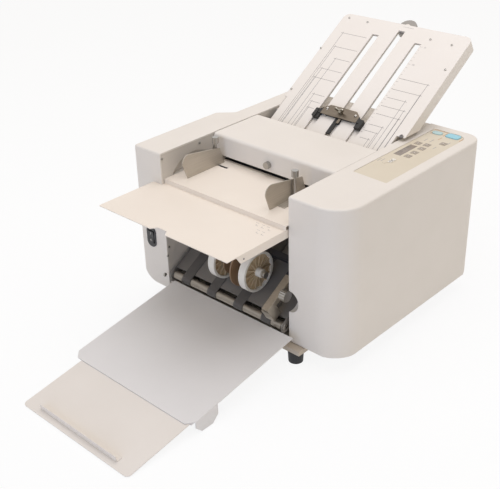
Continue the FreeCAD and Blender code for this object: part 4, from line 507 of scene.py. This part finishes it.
nodeFinishes = [
    (coverAbs, ["left_side_cover", "right_side_cover", "top_cover", "rear_cover"]),
    (frameCoat, ["left_side_frame", "right_side_frame", "chassis_pan"]),
    (baffleShadeBlack, ["front_baffle"]),
    (bedCoat, ["conveyor_bed"]),
    (creamCoat, ["feed_table", "feed_tray"]),
    (plateCoat, ["upper_fold_plate", "upper_plate_backing"]),
    (trayCoat, ["delivery_tray"]),
    (extensionCoat, ["tray_extension", "extension_stop"]),
    (bracketCoat, ["foot_brackets"]),
    (footRubberAndShadeSheet, ["rubber_feet"]),
    (guideSteel, ["left_paper_guide", "right_paper_guide"]),
    (zincSteel, ["lower_fold_plate", "lower_paper_stop"]),
    (armSteel, ["stacker_arm"]),
    (turnedAluminium, ["left_clamp_screw", "right_clamp_screw", "stacker_knob",
                       "feed_pressure_knob"]),
    (nickelBrass, ["stop_knob"]),
    (shaftSteel, ["pivot_pins", "roller_bearings", "conveyor_rear_roller"]),
    (wornSteel, ["conveyor_front_roller"]),
    (stopSteel, ["paper_stop"]),
    (rollerRubber, ["upper_fold_roller", "main_fold_roller", "rear_fold_roller",
                    "lower_fold_roller"]),
    (feedRubber, ["feed_roller", "separator_pad"]),
    (beltCloth, ["conveyor_belts"]),
    (timingRubber, ["drive_belt", "conveyor_drive_belt"]),
    (whiteAcetal, ["feed_gear", "idler_gear", "upper_gear", "main_gear", "rear_gear",
                   "lower_gear", "motor_pulley"]),
    (motorCoat, ["drive_motor"]),
    (blackAbs, ["power_switch_bezel", "power_rocker", "power_inlet"]),
    (greyAbs, ["skew_dial"]),
    (panelFilm, ["control_panel"]),
    (windowPc, ["lcd_window"]),
    (startSilicone, ["start_key"]),
    (stopSilicone, ["stop_key"]),
    (wheelNylon, ["stacker_wheels"]),
    (axleSteel, ["stacker_shaft"]),
]
for material, nodeNames in nodeFinishes:
    for nodeName in nodeNames:
        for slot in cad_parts[nodeName].material_slots:
            slot.material = material


# Print inks and small hardware

print("folder: inks and hardware finishes")
# Screen-printed ink, dark grey: flat and matt, a little uneven in tone
darkInk = grainedFinish("screenInkDarkGrey", {
    "light": "#8B8683", "dark": "#77726F", "driftMm": 6, "grainMm": 0.9, "edgeMm": 0.2,
    "bump": 0.05, "rough": 0.55, "ior": 1.5})
# Screen-printed ink, pale grey: the scale and the fine marks, thinner than the format lines
paleInk = grainedFinish("screenInkPaleGrey", {
    "light": "#BDB8B3", "dark": "#AEA9A4", "driftMm": 6, "grainMm": 0.9, "edgeMm": 0.2,
    "bump": 0.05, "rough": 0.55, "ior": 1.5})
# Screen-printed ink, taupe: the key fields on the film
taupeInk = grainedFinish("screenInkTaupe", {
    "light": "#A99E92", "dark": "#9A8F83", "driftMm": 9, "grainMm": 0.9, "edgeMm": 0.2,
    "bump": 0.05, "rough": 0.5, "ior": 1.5})
# Screen-printed ink, white: key symbols and switch marks. Orange tan: rims of the long keys
whiteInk = grainedFinish("screenInkWhite", {
    "light": "#F4F0E8", "dark": "#E9E4DA", "driftMm": 6, "grainMm": 0.9, "edgeMm": 0.2,
    "bump": 0.05, "rough": 0.5, "ior": 1.5})
tanInk = grainedFinish("screenInkOrangeTan", {
    "light": "#D3AE87", "dark": "#C49C74", "driftMm": 9, "grainMm": 0.9, "edgeMm": 0.2,
    "bump": 0.05, "rough": 0.5, "ior": 1.5})
# Nickel-plated pan head screws: small bright domes, a little greyed in their recess
screwSteel = metalFinish("nickelPlatedScrew", {
    "light": "#B9B5AE", "dark": "#98948D", "lineMm": 1.5, "bump": 0.08, "rough": 0.3})


# The chosen objects become one, whose places go into its mesh
def joinUp(pieces, name, material, carrier):
    bpy.ops.object.select_all(action="DESELECT")
    for piece in pieces:
        piece.select_set(True)
    bpy.context.view_layer.objects.active = pieces[0]
    if len(pieces) > 1:
        bpy.ops.object.join()
    bpy.ops.object.transform_apply(location=True, rotation=True, scale=True)
    whole = bpy.context.object
    whole.name = name
    whole.data.name = name
    whole.data.materials.clear()
    whole.data.materials.append(material)
    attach(whole, carrier)
    return whole


# Copies of a modelled piece, one at each matrix, and the model goes
def copyTo(model, matrices):
    copies = []
    for matrix in matrices:
        copy = model.copy()
        copy.data = model.data.copy()
        bpy.context.collection.objects.link(copy)
        copy.matrix_world = matrix
        copies.append(copy)
    bpy.data.objects.remove(model)
    return copies


# The chosen kind of modifier, set and applied
def modify(piece, kind, settings):
    bpy.ops.object.modifier_add(type=kind)
    for name, value in settings.items():
        setattr(piece.modifiers[-1], name, value)
    bpy.ops.object.modifier_apply(modifier=piece.modifiers[-1].name)


# A frame on a printed face, with its X along the given way and its Z off the face
def printedFrame(seat, spot, middle, along):
    normal = (seat(*spot, 1.0) - seat(*spot)).normalized()
    axes = Matrix((along, normal.cross(along), normal)).transposed().to_4x4()
    return Matrix.Translation(middle) @ axes


inkLook = {"strokeThick": 0.12, "letterThick": 0.06, "letterLift": 0.07}


# One stroke of ink, 1 by 1, which is drawn out along its length and width
def inkStroke():
    bpy.ops.object.select_all(action="DESELECT")
    bpy.ops.mesh.primitive_plane_add(size=1)
    stroke = bpy.context.object
    modify(stroke, "SOLIDIFY", {"thickness": inkLook["strokeThick"] / 1000, "offset": 1.0})
    return stroke


# Straight strokes between pairs of places on a printed face
def printStrokes(name, strokes, seat, widthMm, ink, carrier):
    matrices = []
    width = widthMm / 1000
    for start, end in strokes:
        a = seat(*start)
        b = seat(*end)
        frameAt = printedFrame(seat, start, (a + b) / 2, (b - a).normalized())
        matrices.append(frameAt @ Matrix.Diagonal(((b - a).length + width, width, 1, 1)))
    return joinUp(copyTo(inkStroke(), matrices), name, ink, carrier)


# Numbers in plain type, laid on a printed face
def printNumbers(name, numbers, seat, reading, sizeMm, ink, carrier):
    pieces = []
    for words, spot in numbers:
        bpy.ops.object.select_all(action="DESELECT")
        bpy.ops.object.text_add()
        text = bpy.context.object
        text.data.body = words
        text.data.size = sizeMm / 1000
        text.data.align_x = "CENTER"
        text.data.align_y = "CENTER"
        text.data.extrude = inkLook["letterThick"] / 1000
        bpy.ops.object.convert(target="MESH")
        number = bpy.context.object
        middle = seat(*spot, inkLook["letterLift"])
        number.matrix_world = printedFrame(seat, spot, middle, Vector(reading))
        pieces.append(number)
    return joinUp(pieces, name, ink, carrier)


# Fold plate: thin dark lines beside the left side and the head of each slot, a printed scale
# beside the right one, and printed format brackets on either side

print("folder: fold plate print")
slotLook = {"slots": [(-67.0, 44.0), (pathMiddle, 20.0), (43.0, 44.0)], "width": 15.0,
            "end": 329.0, "margin": 0.5, "line": 0.8}
slotStrokes = []
for x, head in slotLook["slots"]:
    side = slotLook["width"] / 2 + slotLook["margin"]
    over = head - slotLook["margin"]
    slotStrokes.append(((x - side, over), (x - side, slotLook["end"])))
    slotStrokes.append(((x - side, over), (x + side, over)))
# The slot lines darken the plate beside each slot's left side and head
printStrokes("slotOutlines", slotStrokes, onPlate, slotLook["line"], darkInk, "base")

# Each bracket: its outer line across, its place down the plate, and where it ends inside
formatLook = {"left": [(-149, 57, -84), (-144, 98, -83), (-121, 130, -82), (-137, 163, -82),
                       (-139, 190, -82), (-111, 233, -82), (-104, 252, -82), (-101, 269, -87)],
              "right": [(125, 141, 56), (124, 171, 56), (102, 194, 58), (113, 217, 57),
                        (114, 239, 59), (92, 268, 58), (88, 285, 56), (80, 304, 59)],
              "foot": 356.0, "past": 4.0, "over": 3.0, "line": 0.7}
formatStrokes = []
for outer, down, inner in formatLook["left"] + formatLook["right"]:
    past = math.copysign(formatLook["past"], outer - inner)
    formatStrokes.append(((outer + past, down), (inner, down)))
    formatStrokes.append(((outer, down - formatLook["over"]), (outer, formatLook["foot"])))
printStrokes("formatLines", formatStrokes, onPlate, formatLook["line"], darkInk, "base")

dialMarkLook = {"from": -16, "to": 8, "step": 4, "down": 7, "long": 2.2, "line": 0.9}
markDown = dialMarkLook["down"]
dialStrokes = [((x, markDown), (x + dialMarkLook["long"], markDown))
               for x in range(dialMarkLook["from"], dialMarkLook["to"] + 1, dialMarkLook["step"])]
printStrokes("dialMarks", dialStrokes, onPlate, dialMarkLook["line"], paleInk, "base")

scaleLook = {"x": 52.8, "from": 50, "to": 290, "step": 10, "longEvery": 50, "long": 5.0,
             "short": 3.0, "line": 0.7, "numbers": (50, 100), "numberAside": 12,
             "numberSize": 5.0, "reading": (1, 0, 0)}
scaleStrokes = []
for down in range(scaleLook["from"], scaleLook["to"] + 1, scaleLook["step"]):
    reach = scaleLook["short"] if down % scaleLook["longEvery"] else scaleLook["long"]
    scaleStrokes.append(((scaleLook["x"], down), (scaleLook["x"] + reach, down)))
printStrokes("stopScale", scaleStrokes, onPlate, scaleLook["line"], paleInk, "base")
scaleNumbers = [(str(down), (scaleLook["x"] + scaleLook["numberAside"], down))
                for down in scaleLook["numbers"]]
printNumbers("stopScaleNumbers", scaleNumbers, onPlate, scaleLook["reading"],
             scaleLook["numberSize"], paleInk, "base")


# Control film: key fields with small symbols, marks beside the keys, and the rims of the long keys

print("folder: control film")
filmLook = {"left": 159.0, "front": 176.0, "width": 78.0, "length": 277.0, "sunk": 0.02,
            "keyRise": 0.5, "symbolRise": 0.13}
onPanel = levelSeat(panelTop)
onFilm = levelSeat(panelTop - filmLook["sunk"])
onKey = levelSeat(panelTop + filmLook["keyRise"])
overKey = levelSeat(panelTop + filmLook["keyRise"] + filmLook["symbolRise"])

# Keys by their share of the film's width and length
keyLook = {"keys": [(0.22, 0.69), (0.46, 0.70), (0.49, 0.62), (0.49, 0.53), (0.49, 0.45),
                    (0.74, 0.79)],
           "wide": 6.4, "long": 12.6, "groundWide": 13.6, "groundHalf": 0.3,
           "barHalf": 2.0, "crossHalf": 1.2, "line": 0.8}
fieldStrokes = []
groundStrokes = []
symbolStrokes = []
fieldHalf = (keyLook["long"] - keyLook["wide"]) / 2
for number, (across, along) in enumerate(keyLook["keys"]):
    x = filmLook["left"] + filmLook["width"] * across
    y = filmLook["front"] + filmLook["length"] * along
    fieldStrokes.append(((x, y - fieldHalf), (x, y + fieldHalf)))
    groundStrokes.append(((x, y - keyLook["groundHalf"]), (x, y + keyLook["groundHalf"])))
    symbolStrokes.append(((x, y - keyLook["barHalf"]), (x, y + keyLook["barHalf"])))
    if number % 2:
        symbolStrokes.append(((x - keyLook["crossHalf"], y), (x + keyLook["crossHalf"], y)))
printStrokes("keyFields", fieldStrokes, onKey, keyLook["wide"], taupeInk, "base")
printStrokes("keyGrounds", groundStrokes, onFilm, keyLook["groundWide"], taupeInk, "base")
printStrokes("keySymbols", symbolStrokes, overKey, keyLook["line"], whiteInk, "base")

labelLook = {"line": 1.6,
             "strokes": [((178, 398), (178, 386)), ((190, 402), (190, 388)),
                         ((164, 247), (164, 259)), ((170, 250), (170, 262)),
                         ((214, 372), (214, 362)), ((224, 408), (224, 398))]}
printStrokes("filmLabels", labelLook["strokes"], onPanel, labelLook["line"], paleInk, "base")
arrowLook = {"field": ((186, 257), (186, 269)), "fieldWide": 8.0, "line": 1.4,
             "marks": [((183, 259), (189, 267)), ((189, 259), (183, 267)),
                       ((186, 255), (186, 258))]}
printStrokes("arrowField", [arrowLook["field"]], onKey, arrowLook["fieldWide"], whiteInk, "base")
printStrokes("arrowMarks", arrowLook["marks"], overKey, arrowLook["line"], darkInk, "base")
rimLook = {"line": 2.0,
           "strokes": [((163, 450.5), (228, 450.5)), ((234, 444), (234, 426)),
                       ((197, 408), (197, 420)), ((194, 430), (194, 446)),
                       ((166, 444), (166, 428))]}
printStrokes("keyRims", rimLook["strokes"], onPanel, rimLook["line"], tanInk, "base")

# Display: plain figures on the window, with a line on either side
displayLook = {"lift": 0.02, "size": 10.0, "reading": (0, 1, 0), "line": 0.7,
               "figures": [("210", (174, 309)), ("3", (174, 326)), ("05", (174, 339))],
               "strokes": [((169, 294.5), (169, 352)), ((183, 294.5), (183, 352))]}
onWindow = levelSeat(panelTop + displayLook["lift"])
printNumbers("displayFigures", displayLook["figures"], onWindow, displayLook["reading"],
             displayLook["size"], darkInk, "base")
printStrokes("displayFrame", displayLook["strokes"], onWindow, displayLook["line"], darkInk,
             "base")


# Feed tray print: small marks near its front corner, every other row with upright ticks

print("folder: feed tray marks")
trayLook = {"top": 280.0, "line": 0.8, "long": (5.5, 6.5), "tick": 3.5,
            "rows": [(9, (84, 96, 108)), (0, (74, 88, 100)), (-9, (80, 94, 110)), (-20, (94, 106)),
                     (-30, (100, 112))]}
trayStrokes = []
for row, (y, starts) in enumerate(trayLook["rows"]):
    for x in starts:
        trayStrokes.append(((x, y), (x + trayLook["long"][row % 2], y)))
        if row % 2 == 0:
            trayStrokes.append(((x, y), (x, y + trayLook["tick"])))
printStrokes("trayMarks", trayStrokes, levelSeat(trayLook["top"]), trayLook["line"], paleInk,
             "base")


# Rocker marks: a bar for on and a ring for off, at the ends of the tilting key

print("folder: switch marks")
rockerLook = {"x": -227.0, "face": -3.45, "onZ": 155.0, "offZ": 139.0, "ring": 2.2, "line": 0.6,
              "ringSteps": 24, "lineSteps": 6, "barDeep": 0.5, "barEdge": 0.1}
bpy.ops.object.select_all(action="DESELECT")
bpy.ops.mesh.primitive_torus_add(
    location=place(rockerLook["x"], rockerLook["face"], rockerLook["offZ"]),
    rotation=(math.pi / 2, 0, 0), major_segments=rockerLook["ringSteps"],
    minor_segments=rockerLook["lineSteps"], major_radius=rockerLook["ring"] / 1000,
    minor_radius=rockerLook["line"] / 2 / 1000)
joinUp([bpy.context.object], "rockerOffRing", whiteInk, "rocker")
bpy.ops.object.select_all(action="DESELECT")
bpy.ops.mesh.primitive_cube_add(
    size=1, location=place(rockerLook["x"], rockerLook["face"], rockerLook["onZ"]))
onBar = bpy.context.object
onBar.scale = Vector((rockerLook["line"], rockerLook["barDeep"], rockerLook["ring"] * 2)) / 1000
modify(onBar, "BEVEL", {"width": rockerLook["barEdge"] / 1000})
joinUp([onBar], "rockerOnBar", whiteInk, "rocker")


# Inside the mouth a thin black sheet lies on the table as painted shade, so that the gap under the
# lid reads dark

print("folder: mouth shade sheet")
shadeSheetLook = {"left": -160.0, "right": 116.0, "front": 157.0, "rear": 172.0, "floor": 290.0,
             "thick": 0.4, "corner": 3.0, "cornerSteps": 4}
shadeSheetMiddle = place((shadeSheetLook["left"] + shadeSheetLook["right"]) / 2,
                    (shadeSheetLook["front"] + shadeSheetLook["rear"]) / 2, shadeSheetLook["floor"])
shadeSheetSize = Matrix.Diagonal(((shadeSheetLook["right"] - shadeSheetLook["left"]) / 1000,
                             (shadeSheetLook["rear"] - shadeSheetLook["front"]) / 1000, 1, 1))
bpy.ops.object.select_all(action="DESELECT")
bpy.ops.mesh.primitive_plane_add(size=1)
shadeSheet = bpy.context.object
shadeSheet.matrix_world = Matrix.Translation(shadeSheetMiddle) @ shadeSheetSize
bpy.ops.object.transform_apply(location=True, rotation=True, scale=True)
bpy.ops.object.mode_set(mode="EDIT")
bpy.ops.mesh.select_all(action="SELECT")
bpy.ops.mesh.bevel(offset=shadeSheetLook["corner"] / 1000, segments=shadeSheetLook["cornerSteps"],
                   affect="VERTICES")
bpy.ops.object.mode_set(mode="OBJECT")
modify(shadeSheet, "SOLIDIFY", {"thickness": shadeSheetLook["thick"] / 1000, "offset": 1.0})
# The black sheet is painted shade, standing in for the dark inside the mouth
joinUp([shadeSheet], "mouthShadeSheet", footRubberAndShadeSheet, "base")


# Pan head screws, modelled once with a cross recess

print("folder: screws")
screwLook = {"radius": 2.7, "height": 1.5, "sides": 24, "dome": 0.6, "domeSteps": (0.25, 0.35),
             "domeShare": 0.6, "topNormal": 0.9,
             "recessLong": 3.2, "recessWide": 0.7, "recessDeep": 0.9}


def panHeadScrew(look):
    bpy.ops.object.select_all(action="DESELECT")
    bpy.ops.mesh.primitive_cylinder_add(vertices=look["sides"], radius=look["radius"] / 1000,
                                        depth=look["height"] / 1000,
                                        location=(0, 0, look["height"] / 2 / 1000))
    screw = bpy.context.object
    bpy.ops.object.transform_apply(location=True)
    bpy.ops.object.mode_set(mode="EDIT")
    bpy.ops.mesh.select_mode(type="FACE")
    bpy.ops.mesh.select_all(action="DESELECT")
    mesh = bmesh.from_edit_mesh(screw.data)
    for face in mesh.faces:
        face.select = face.normal.z > look["topNormal"]
    bmesh.update_edit_mesh(screw.data)
    for share in look["domeSteps"]:
        bpy.ops.mesh.inset(thickness=look["radius"] * share / 1000)
        lift = look["dome"] * (look["domeShare"] - share) * 2
        bpy.ops.transform.translate(value=(0, 0, lift / 1000))
    bpy.ops.object.mode_set(mode="OBJECT")
    top = (look["height"] + look["dome"]) / 1000
    for turned in (0, math.pi / 2):
        bpy.ops.object.select_all(action="DESELECT")
        bpy.ops.mesh.primitive_cube_add(size=1, location=(0, 0, top), rotation=(0, 0, turned))
        cutter = bpy.context.object
        cutter.scale = Vector((look["recessLong"], look["recessWide"],
                               look["recessDeep"] * 2)) / 1000
        bpy.context.view_layer.objects.active = screw
        modify(screw, "BOOLEAN", {"object": cutter, "operation": "DIFFERENCE"})
        bpy.data.objects.remove(cutter)
    return screw


def screwsAt(name, places, facing, scale, material, carrier="base"):
    turned = Vector(facing).to_track_quat("Z", "Y").to_matrix().to_4x4()
    matrices = [Matrix.Translation(spot) @ turned @ Matrix.Scale(scale, 4) for spot in places]
    return joinUp(copyTo(panHeadScrew(screwLook), matrices), name, material, carrier)


# Places across and down the plate. The dark heads take the finish of the dark ink.
plateUp = (0, -math.sin(plateSlope), math.cos(plateSlope))
plateScrewLook = {"spots": [(-160, 12), (-108, 14), (64, 26), (118, 29), (-175, 111), (140, 94),
                            (-173, 236)], "scale": 0.9, "pivot": (144, 276), "pivotScale": 1.5}
screwsAt("platePanScrews", [onPlate(x, down) for x, down in plateScrewLook["spots"]], plateUp,
         plateScrewLook["scale"], screwSteel)
screwsAt("platePivotHead", [onPlate(*plateScrewLook["pivot"])], plateUp,
         plateScrewLook["pivotScale"], darkInk)

# Places back and up on the inner face of the left frame
wallLook = {"x": -182, "screws": [(4, 334), (109, 335), (149, 314), (5, 135), (0, 116)],
            "scale": 0.95, "boss": (-12, 76), "bossScale": 1.6}
toRight = (1, 0, 0)
screwsAt("wallPanScrews", [place(wallLook["x"], y, z) for y, z in wallLook["screws"]], toRight,
         wallLook["scale"], screwSteel)
screwsAt("wallBossHeads", [place(wallLook["x"], *wallLook["boss"])], toRight,
         wallLook["bossScale"], screwSteel)
flangeLook = {"spot": (136.0, -101, 270), "scale": 0.6}
screwsAt("trayFlangeScrew", [place(*flangeLook["spot"])], toRight, flangeLook["scale"], darkInk)

# Two pale eyelets in the bridge of the paper stop
rivetLook = {"aside": 37, "down": 263, "lift": 8.05, "scale": 0.85}
rivetPlaces = [onPlate(pathMiddle + side * rivetLook["aside"], rivetLook["down"],
                       rivetLook["lift"]) for side in (-1, 1)]
screwsAt("stopRivets", rivetPlaces, plateUp, rivetLook["scale"], whiteInk, "plate_stop")

rearLook = {"inset": 0.012, "scale": 1.1}
rearLow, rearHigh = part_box("rear_cover")
rearAcross = (rearLow.x + rearLook["inset"], (rearLow.x + rearHigh.x) / 2,
              rearHigh.x - rearLook["inset"])
rearUp = (rearLow.z + rearLook["inset"], rearHigh.z - rearLook["inset"])
screwsAt("rearPanScrews", [Vector((x, rearHigh.y, z)) for x in rearAcross for z in rearUp],
         (0, 1, 0), rearLook["scale"], screwSteel)
